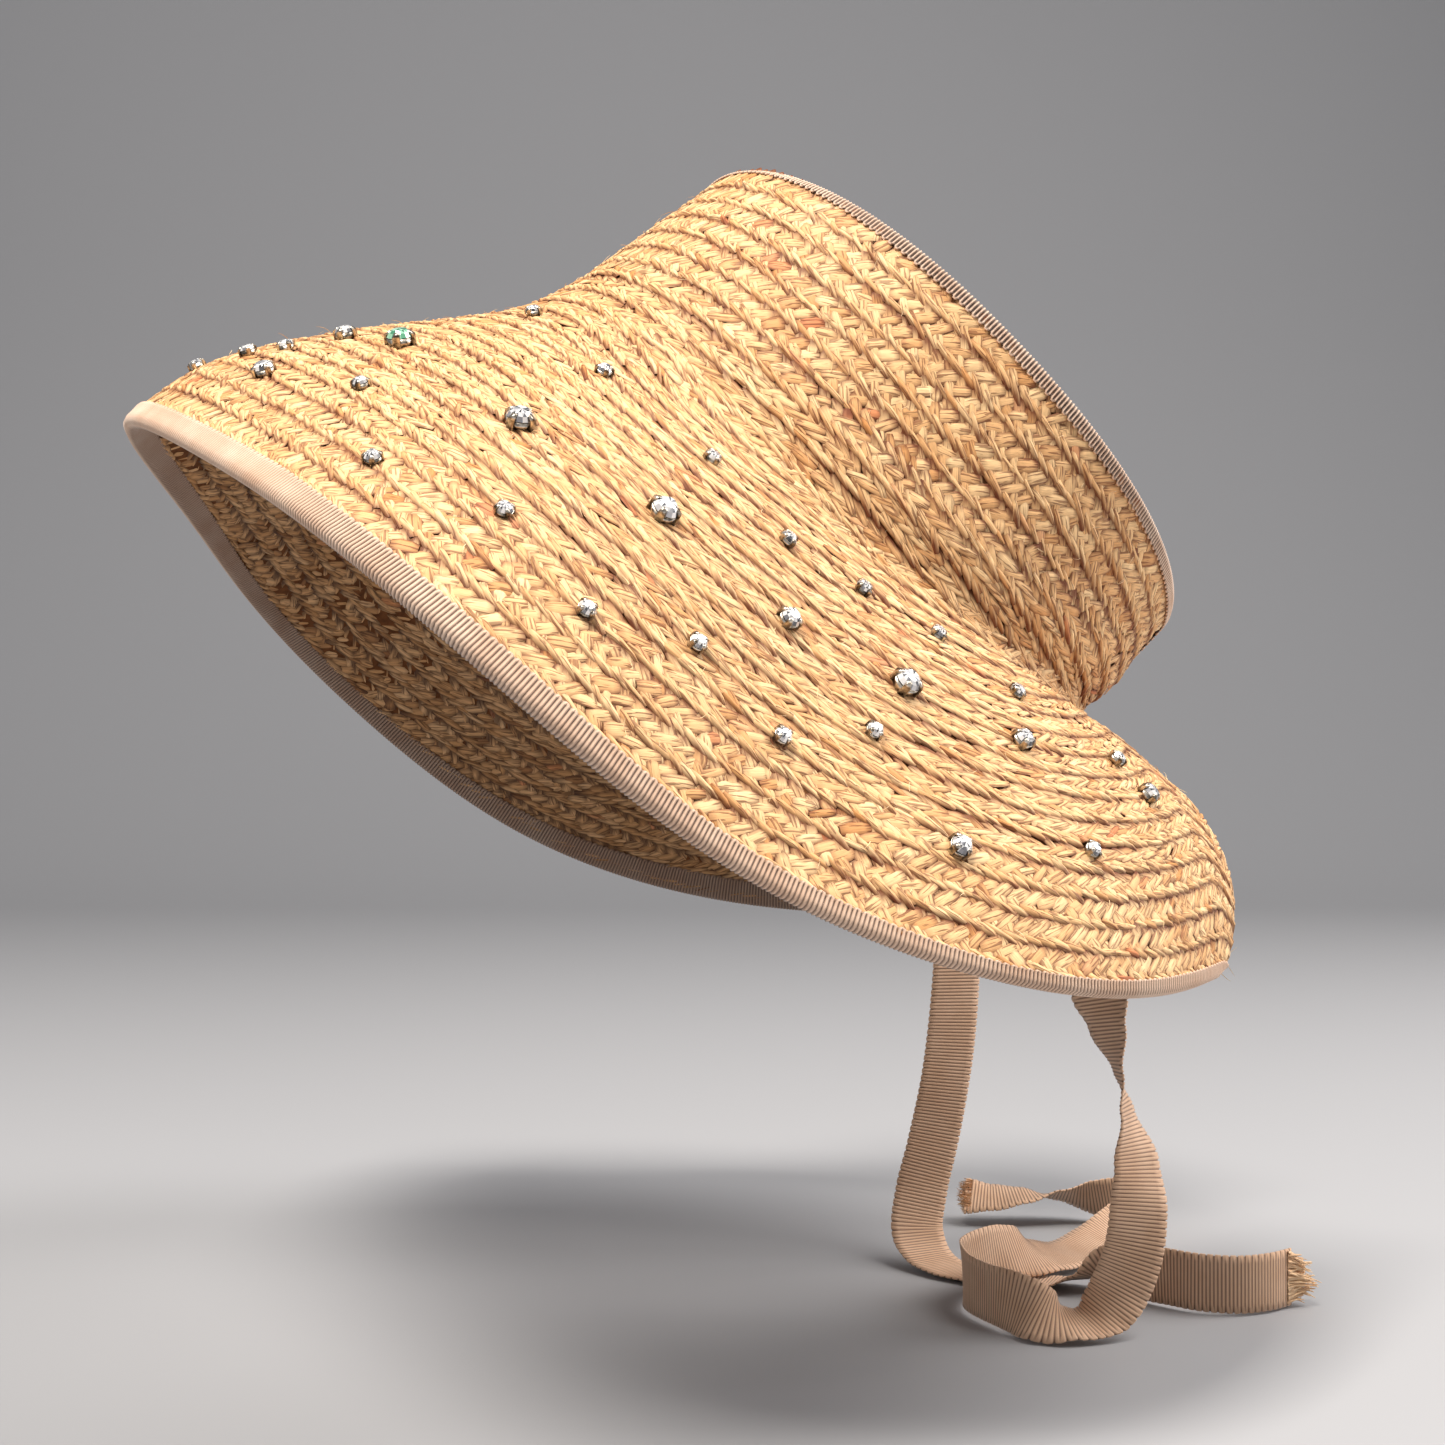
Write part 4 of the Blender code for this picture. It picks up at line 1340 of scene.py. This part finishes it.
FAR_ROUTE = (
    (80.3, 43.2, -28.2, 0.35, -0.9, -0.27), (75.8, 40.2, -41.2, 0.35, -0.9, -0.25),
    (72.8, 38.2, -54.2, 0.4, -0.9, -0.1), (72.5, 39.0, -75.0, 0.9, -0.5, 0.0),
    (73.0, 42.0, -100.0, 1.0, 0.0, 0.0), (73.0, 45.0, -130.0, 1.0, 0.1, 0.0),
    (71.0, 49.0, -165.0, 1.0, 0.0, 0.0), (67.0, 52.0, -190.0, 1.0, -0.1, 0.0),
    (63.0, 51.5, -205.0, 1.0, -0.15, 0.1), (60.0, 47.0, -216.8, 1.0, -0.1, 0.1),
    (60.5, 38.0, -222.8, 1.0, 0.1, 0.0), (64.0, 28.0, -224.9, 0.9, 0.35, 0.0),
    (69.5, 19.0, -225.1, 0.8, 0.55, 0.0), (77.0, 11.0, -225.1, 0.7, 0.75, 0.0),
    (86.0, 4.5, -224.9, 0.45, 0.9, -0.03), (95.0, -2.0, -222.4, 0.1, 0.95, -0.35),
    (103.5, -11.5, -218.4, -0.1, 0.45, -0.9), (111.0, -25.0, -217.3, 0.0, 0.05, -1.0),
    (119.0, -36.0, -217.3, 0.0, 0.0, -1.0), (129.0, -41.0, -217.3, 0.0, 0.0, -1.0),
    (139.0, -40.0, -217.3, 0.0, 0.0, -1.0), (148.0, -36.0, -217.3, 0.0, 0.0, -1.0),
)


# Fibres


@dataclass(frozen=True)
class Fray:
    """A tie's frayed end: how many threads, how long, how thick and how gathered."""

    name: str
    tie: RibbonTie
    count: int
    length: Pair
    yarn: float
    gathered: float


@dataclass(frozen=True)
class LooseFibres:
    """Short fibres that stand off the straw, a few long ends, and the ties' frayed ends.

    Attributes:
        sheet: The straw's surface.
        stations: Points along each fibre.
        count: Number of fibres on the straw.
        on_brim: Share of them that stands on the brim.
        most_degrees: Widest angle from the front that has fibres.
        shares: Nearest and farthest share of the way from the seam.
        lengths: Shortest and longest fibre.
        radii: Thinnest and thickest fibre.
        height: Height of their roots over the wall.
        stands: Least and most rise off the straw, as a share of the length.
        long_stand: The same for the long ends.
        bend: Most sideways bend, as a share of the length.
        taper: How much of its radius a fibre loses up to its tip.
        tuck: How far a tie's threads start inside it.
        long_ends: Degrees, share from the seam, length and heading of each long end.
        seed: Start of the random numbers.
    """

    sheet: StrawSheet
    stations: int = 5
    count: int = 900
    on_brim: float = 0.65
    most_degrees: float = 158.0
    shares: Pair = (0.05, 0.93)
    lengths: Pair = (1.2, 3.6)
    radii: Pair = (0.05, 0.11)
    height: float = 0.9
    stands: Pair = (0.10, 0.45)
    long_stand: float = 0.8
    bend: float = 0.5
    taper: float = 0.7
    tuck: float = 2.4
    long_ends: tuple[tuple[float, float, float, float], ...] = (
        (4.0, 0.60, 4.0, 2.0), (7.0, 0.52, 3.5, 0.4), (134.0, 0.42, 9.0, 0.9),
        (137.0, 0.47, 7.0, 2.4), (149.0, 0.90, 7.0, 0.6), (147.0, 0.97, 6.0, 0.2),
        (62.0, 0.30, 7.0, 1.2), (97.0, 0.62, 8.0, 2.8), (38.0, 0.42, 7.0, 0.9),
        (-30.0, 0.50, 9.0, 1.1), (-80.0, 0.40, 8.0, 2.0), (-120.0, 0.70, 9.0, 0.3),
    )
    seed: int = 5

    def tube(
        self, name: str, lines: Array, radius: Array, finish: Material, tones: Array
    ) -> Piece:
        """Make three-sided fibres that taper along their lines.

        Args:
            name: Name of the piece.
            lines: Points of each fibre, metres, by fibre and station.
            radius: Radius of each fibre, metres.
            finish: Its material.
            tones: How light each fibre is, 0 to 1.

        Returns:
            The piece.
        """
        spots, quads = small_grid(self.stations - 1, 3)
        i = np.rint((spots[:, 0] + 1.0) / 2.0 * (self.stations - 1)).astype(int)
        turn = math.pi * spots[:, 1]
        along = unit(np.gradient(lines, axis=1))
        first = unit(np.cross(along, np.array([0.3, 0.5, 0.81])))
        second = np.cross(along, first)
        taper = (1.0 - self.taper * (i / (self.stations - 1.0)) ** 2) * radius[:, None]
        ring = first[:, i] * np.cos(turn)[:, None] + second[:, i] * np.sin(turn)[:, None]
        mesh, _ = repeated_mesh(name, lines[:, i] + ring * taper[..., None], quads)
        set_attribute(mesh, "rib", np.repeat(0.25 + 0.75 * tones, len(spots)))
        return new_piece(name, mesh, finish)

    def on_straw(self, finish: Material) -> Piece:
        """Stand fibres off the outer face of the brim and the crown.

        Args:
            finish: Their material.

        Returns:
            The piece.
        """
        rng = np.random.default_rng(self.seed)
        count, long_count = self.count, len(self.long_ends)
        brim = rng.random(count) < self.on_brim
        phi = np.radians(rng.uniform(-self.most_degrees, self.most_degrees, count))
        share = rng.uniform(*self.shares, count)
        length = rng.uniform(*self.lengths, count)
        heading = rng.uniform(0.0, 2.0 * math.pi, count)
        degrees, *others = np.array(self.long_ends).T
        phi[:long_count], brim[:long_count] = np.radians(degrees), True
        for values, chosen in zip((share, length, heading), others):
            values[:long_count] = chosen
        edges = [self.sheet.edge(piece, phi) for piece in (StrawPiece.BRIM, StrawPiece.CROWN)]
        rows = share * np.where(brim, edges[0], edges[1])
        normal = self.sheet.normal(phi, rows)
        root = self.sheet.surface(phi, rows, np.full(count, self.height))
        level = unit(np.cross(normal, np.array([0.2, 0.1, 1.0])))
        side = np.cross(normal, level)
        way = level * np.cos(heading)[:, None] + side * np.sin(heading)[:, None]
        stand = rng.uniform(*self.stands, count)
        stand[:long_count] = self.long_stand
        bend = rng.uniform(-self.bend, self.bend, count)
        steps = np.linspace(0.0, 1.0, self.stations)[None, :, None]
        reach = length[:, None, None] * steps
        lines = root[:, None] + way[:, None] * reach
        lines = lines + normal[:, None] * reach * stand[:, None, None] * (1.3 - 0.5 * steps)
        turned = np.cross(way, normal)[:, None]
        lines = lines + turned * bend[:, None, None] * reach * steps
        radius = rng.uniform(*self.radii, count) * MM
        tones = rng.uniform(0.55, 1.0, count)
        return self.tube("loose_fibres", self.sheet.shape.placed(lines), radius, finish, tones)

    def frayed(self, fray: Fray, finish: Material) -> Piece:
        """Fray the cut end of a tie.

        Args:
            fray: What its threads are like.
            finish: Their material.

        Returns:
            The piece.
        """
        count = fray.count
        rng = np.random.default_rng(self.seed + count)
        centre, across, along = (table[-1] for table in fray.tie.line()[:3])
        facing = np.cross(along, across)
        share = rng.uniform(-0.97, 0.97, count)
        side = share * fray.tie.width / 2.0
        root = centre + across * side[:, None] - along * self.tuck
        root = root + facing * rng.uniform(-0.55, 0.55, count)[:, None]
        size = rng.uniform(*fray.length, count) * (1.0 - 0.4 * share**2)
        gather = -fray.gathered * share + rng.normal(0.0, 0.10, count)
        lift = rng.normal(0.0, 0.12, count)
        way = along + across * gather[:, None] + facing * lift[:, None]
        steps = np.linspace(0.0, 1.0, self.stations)[None, :, None]
        curl = across * rng.normal(0.12, 0.16, count)[:, None]
        curl = curl + facing * rng.normal(0.0, 0.22, count)[:, None]
        lines = root[:, None] + (unit(way)[:, None] + curl[:, None] * steps) * (
            steps * size[:, None, None]
        )
        radius = rng.uniform(0.5, 1.0, count) * fray.yarn * MM
        return self.tube(fray.name, lines * MM, radius, finish, rng.uniform(0.3, 1.0, count))


# Stones


def faces_above(shape: BMesh, verts: Iterable, height: float) -> tuple[set, list]:
    """Find what lies above a height.

    Args:
        shape: The shape.
        verts: Points to look among.
        height: The height.

    Returns:
        The points above it, and the faces between them.
    """
    top = {vertex for vertex in verts if vertex.co.z > height}
    return top, [face for face in shape.faces if top.issuperset(face.verts)]


def hash_of(text: str) -> int:
    """Turn a name into a number that is the same on every run."""
    total = 7
    for letter in text:
        total = (total * 31 + ord(letter)) % 1000003
    return total


@dataclass(frozen=True)
class Rhinestone:
    """A cut stone held by four claws in a stamped cup."""

    glass: Material
    metal: Material
    facets: int = 8
    claws: int = 4

    def build(self, name: str, size: StoneSize, seat: Vector, axis: Vector, turn: float) -> Piece:
        """Make one stone in its cup.

        Args:
            name: Name of the piece.
            size: Its size.
            seat: Middle of the cup's foot, metres.
            axis: Which way the stone faces.
            turn: Turn about its axis, radians.

        Returns:
            The piece.
        """
        girdle, cup, cup_height, crown = size.value
        shape = bmesh.new()
        self.add_cup(shape, cup, cup_height)
        self.add_claws(shape, cup, cup_height, crown)
        metal_faces = len(shape.faces)
        self.add_stone(shape, girdle, cup_height, crown)
        for index, face in enumerate(shape.faces):
            face.material_index = 0 if index < metal_faces else 1
            face.smooth = index < metal_faces
        turned = Matrix.Rotation(turn, 4, "Z")
        facing = axis.to_track_quat("Z", "Y").to_matrix().to_4x4()
        place = Matrix.Translation(seat) @ facing @ turned @ Matrix.Scale(MM, 4)
        bmesh.ops.transform(shape, matrix=place, verts=shape.verts)
        mesh = bpy.data.meshes.new(name)
        shape.to_mesh(mesh)
        shape.free()
        rng = np.random.default_rng(hash_of(name))
        # Painted reflection: a random number for each face picks its dark, grey or white glass
        # colour.
        set_attribute(mesh, "facet", rng.random(len(mesh.polygons)), "FACE")
        return new_piece(name, mesh, self.metal, self.glass)

    def add_cup(self, shape: BMesh, cup: float, height: float) -> None:
        """Add the stamped cup: a flared ring with a flat foot.

        Args:
            shape: The shape to add to.
            cup: Radius of the cup.
            height: Its height.
        """
        made = bmesh.ops.create_cone(
            shape, cap_ends=True, segments=16, radius1=cup * 0.80, radius2=cup * 0.95,
            depth=height * 0.8, matrix=Matrix.Translation((0, 0, height * 0.4)),
        )
        _, lid = faces_above(shape, made["verts"], height * 0.7)
        bmesh.ops.inset_region(shape, faces=lid, thickness=cup * 0.14, depth=-height * 0.15)

    def add_claws(self, shape: BMesh, cup: float, height: float, crown: float) -> None:
        """Add the claws, each one a tab bent in over the stone's girdle.

        Args:
            shape: The shape to add to.
            cup: Radius of the cup.
            height: Its height.
            crown: Height of the stone over it.
        """
        for k in range(self.claws):
            verts = bmesh.ops.create_cube(shape, size=1.0)["verts"]
            bmesh.ops.scale(shape, vec=(cup * 0.20, cup * 0.52, height * 0.96), verts=verts)
            bmesh.ops.translate(shape, vec=(cup * 0.96, 0, height * 0.52), verts=verts)
            _, lid = faces_above(shape, verts, height * 0.9)
            bent = bmesh.ops.extrude_face_region(shape, geom=lid)
            tip = [item for item in bent["geom"] if isinstance(item, bmesh.types.BMVert)]
            bmesh.ops.translate(shape, vec=(-cup * 0.34, 0, crown * 0.62), verts=tip)
            middle = Matrix.Translation((-cup * 0.6, 0, 0))
            bmesh.ops.scale(shape, vec=(1.0, 0.6, 1.0), verts=tip, space=middle)
            turn = Matrix.Rotation(2.0 * math.pi * k / self.claws + math.pi / 4.0, 4, "Z")
            bmesh.ops.transform(shape, matrix=turn, verts=list(set(verts) | set(tip)))

    def add_stone(self, shape: BMesh, girdle: float, height: float, crown: float) -> None:
        """Add the cut stone: a girdle, eight kite facets, star facets and a flat table.

        Args:
            shape: The shape to add to.
            girdle: Radius of the stone.
            height: Height of the cup.
            crown: Height of the stone over it.
        """
        base = height * 0.86
        made = bmesh.ops.create_cone(
            shape, cap_ends=True, segments=self.facets * 2, radius1=girdle, radius2=girdle * 0.80,
            depth=crown * 0.7, matrix=Matrix.Translation((0, 0, base + crown * 0.35)),
        )
        ring, lid = faces_above(shape, made["verts"], base + crown * 0.5)
        bmesh.ops.inset_region(shape, faces=lid, thickness=girdle * 0.26, depth=crown * 0.42)
        twist = Matrix.Rotation(math.pi / (2.0 * self.facets), 4, "Z")
        bmesh.ops.transform(shape, matrix=twist, verts=list(ring))
        skin = {face for vertex in ring for face in vertex.link_faces}
        bmesh.ops.triangulate(shape, faces=[face for face in skin if len(face.verts) == 4])
        bmesh.ops.poke(shape, faces=[face for face in lid if face.is_valid], offset=crown * 0.10)


@dataclass(frozen=True)
class StoneSetter:
    """Sets a rhinestone at every CAD stone, and the few small ones that CAD leaves out."""

    sheet: StrawSheet
    maker: Rhinestone
    # Painted glint: this one stone gets glass colours in green, for the green fire that it throws
    # back.
    green_glint_maker: Rhinestone
    green_glint_stone: str = "stone_near_09"
    extras: tuple[Pair, ...] = (
        (14.0, 0.62), (46.0, 0.22), (90.0, 0.24), (128.0, 0.26), (20.0, 0.42),
        (66.0, 0.84), (98.0, 0.66), (122.0, 0.74), (48.0, 0.66), (8.0, 0.80), (-132.0, 0.35),
    )
    seat_lift: float = 0.8
    axis_reach: float = 2.0
    merge: float = 0.02

    def measured(self, node: Piece) -> tuple[Vector, Vector, StoneSize]:
        """Read a CAD stone's foot, direction and size from its mesh.

        Args:
            node: The CAD stone.

        Returns:
            Middle of its foot, its axis, and its size.
        """
        grid = self.merge * MM
        points = np.array([vertex.co[:] for vertex in node.data.vertices])
        points = np.unique(np.round(points / grid), axis=0) * grid
        centre = points.mean(axis=0)
        values, vectors = np.linalg.eigh(np.cov((points - centre).T))
        odd = 0 if values[1] - values[0] > values[2] - values[1] else 2
        axis = vectors[:, odd]
        height = (points - centre) @ axis
        radius = np.linalg.norm((points - centre) - np.outer(height, axis), axis=1)
        if np.corrcoef(height, radius)[0, 1] > 0.0:
            axis, height = -axis, -height
        size = min(StoneSize, key=lambda s: abs(s.value[1] * MM - radius.max()))
        foot = centre + axis * height.min()
        return Vector(foot), Vector(axis), size

    def build(self, nodes: dict[str, Piece]) -> None:
        """Make all the stones.

        Args:
            nodes: CAD nodes by name.
        """
        for name in sorted(node for node in nodes if node.startswith("stone_")):
            foot, axis, size = self.measured(nodes[name])
            turn = (hash_of(name) % 100) / 100.0 * math.pi
            maker = self.green_glint_maker if name == self.green_glint_stone else self.maker
            keep(maker.build("rhine" + name, size, foot, axis, turn), "rhinestone", name)
        for index, (degrees, share) in enumerate(self.extras):
            phi = np.array([-math.radians(degrees)])
            rows = share * self.sheet.edge(StrawPiece.BRIM, phi)
            spot, above = (
                self.sheet.shape.placed(self.sheet.surface(phi, rows, np.array([lift])))[0]
                for lift in (self.seat_lift, self.seat_lift + self.axis_reach)
            )
            axis = Vector(above - spot).normalized()
            name = "rhinestone_extra_%02d" % (index + 1)
            piece = self.maker.build(name, StoneSize.SMALL, Vector(spot), axis, 0.3 * index)
            keep(piece, "rhinestone")


# Studio


@dataclass(frozen=True)
class Lamp:
    """A square soft light: its place, aim and side in metres, its watts and its colour."""

    name: str
    place: tuple[float, ...]
    aim: tuple[float, ...]
    size: float
    power: float
    colour: str


@dataclass(frozen=True)
class Studio:
    """Camera, floor and soft light. The floor's sizes are in metres."""

    lamps: tuple[Lamp, ...] = (
        Lamp("key", (-0.58, -0.56, 1.44), (0.0, 0.0, -0.05), 0.50, 42.0, "fff8ee"),
        Lamp("top", (0.80, -0.30, 1.20), (0.05, 0.0, -0.1), 0.9, 17.0, "fff9f2"),
        Lamp("fill", (1.50, -0.16, 0.55), (0.0, 0.0, 0.0), 0.9, 13.0, "fffaf6"),
    )
    room: dict[str, object] = field(default_factory=lambda: {"Color": "f2f2f4", "Strength": 0.40})
    floor_width: float = 9.0
    floor_run: float = 7.0
    floor_front: float = -2.5
    bend_at: float = 1.6
    bend_radius: float = 0.8

    def camera(self) -> None:
        """Set the camera where the photograph was taken."""
        data = bpy.data.cameras.new("camera")
        data.lens = CAMERA_LENS_MM
        data.sensor_width = CAMERA_SENSOR_MM
        data.clip_start = 0.01
        camera = linked("camera", data)
        camera.location = CAMERA_PLACE
        camera.rotation_euler = [math.radians(turn) for turn in CAMERA_TURN_DEG]
        bpy.context.scene.camera = camera

    def floor(self, finish: Material) -> None:
        """Lay the floor, curving up into a backdrop far behind.

        Args:
            finish: Its material.
        """
        columns, rows = 4, 70
        i, j = numbered(columns, rows)
        run = j / rows * self.floor_run + self.floor_front
        bend = np.clip(run - self.bend_at, 0.0, None)
        angle = np.clip(bend / self.bend_radius, 0.0, math.pi / 2.0)
        past = np.clip(bend - self.bend_radius * math.pi / 2.0, 0.0, None)
        x = (i / columns - 0.5) * self.floor_width
        y = np.minimum(run, self.bend_at) + self.bend_radius * np.sin(angle)
        z = self.bend_radius * (1.0 - np.cos(angle)) + past + TABLE_TOP_MM * MM
        mesh = shaped_grid("floor", columns, rows, np.stack([x, y, z], -1))
        mesh.transform(Matrix.Rotation(math.radians(CAMERA_TURN_DEG[2]), 4, "Z"))
        new_piece("floor", mesh, finish)

    def build(self) -> None:
        """Make the floor and the lights."""
        self.floor(PaintedBoard().material())
        for lamp in self.lamps:
            data = bpy.data.lights.new(lamp.name, "AREA")
            data.size = lamp.size
            data.energy = lamp.power
            data.color = hex_colour(lamp.colour)[:3]
            light = linked(lamp.name, data)
            light.location = lamp.place
            way = Vector(lamp.aim) - Vector(lamp.place)
            light.rotation_euler = way.to_track_quat("-Z", "Y").to_euler()
        world = bpy.data.worlds.new("room")
        world.use_nodes = True
        set_values(world.node_tree.nodes["Background"], self.room)
        bpy.context.scene.world = world
        bpy.context.scene.view_settings.view_transform = "Standard"


def main() -> None:
    """Build the hat's looks piece by piece."""
    logging.basicConfig(level=logging.INFO, format="%(name)s %(message)s")
    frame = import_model()
    studio = Studio()
    studio.camera()

    ribbon = Grosgrain("grosgrain_ribbon").material()
    near_tie = RibbonTie("near_ribbon_tie", "tie_near", NEAR_ROUTE)
    far_tie = RibbonTie("far_ribbon_tie", "tie_far", FAR_ROUTE)
    near_tie.build(ribbon)
    far_tie.build(ribbon)

    sheet, laps = StrawSheet.of(HatShape()), Laps()
    edging = Grosgrain("grosgrain_binding", "deb89c", "3a2014", "ecceb6").material()
    for piece in StrawPiece:
        keep(Binding(sheet, piece, laps).build(edging), "ribbon", piece.value + "_binding")

    # Painted shade: the CAD straw walls get the dark ground colour, which shows only in the gaps
    # between the rows.
    ground = PaintedShadeGround().material()
    for piece in StrawPiece:
        node = frame["nodes"][piece.value]
        node.data.materials.clear()
        node.data.materials.append(ground)

    plait = {
        StrawFace.OUTER: RaffiaPlait("raffia_plait").material(),
        # Painted shade: the underside plait is a darker copy of the outer plait's colours, for the
        # shade under the brim and inside the crown.
        StrawFace.UNDER: RaffiaPlait(
            "raffia_plait_under_painted_shade", "dcb080", "c4925e", "8c5c34", "3c1e0a"
        ).material(),
    }
    straw = BraidedStraw(sheet, laps)
    for layer in LAYERS:
        keep(straw.build(layer, plait[layer.face]), "straw")

    fibres = LooseFibres(sheet)
    thread = Grosgrain("cotton_thread_ends", "e8bd92", "b07c52", "f2d0a6").material()
    wisps = Grosgrain("raffia_wisps", "ecca94", "b88a54", "f6e0b8").material()
    keep(fibres.on_straw(wisps), "straw")
    for fray in (
        Fray("far_tie_frayed_end", far_tie, 210, (8.2, 10.4), 0.62, 0.35),
        Fray("near_tie_frayed_end", near_tie, 120, (4.0, 5.6), 0.3, 0.1),
    ):
        keep(fibres.frayed(fray, thread), "ribbon")

    brass = PlatedBrass().material()
    maker = Rhinestone(FoiledGlass().material(), brass)
    # Painted glint: green glass colours for the one stone that throws back green fire.
    green = FoiledGlass("foiled_glass_painted_green_glint", "1a2a20", "58b088", "c8ffe0").material()
    StoneSetter(sheet, maker, Rhinestone(green, brass)).build(frame["nodes"])

    studio.build()


if __name__ == "__main__":
    main()
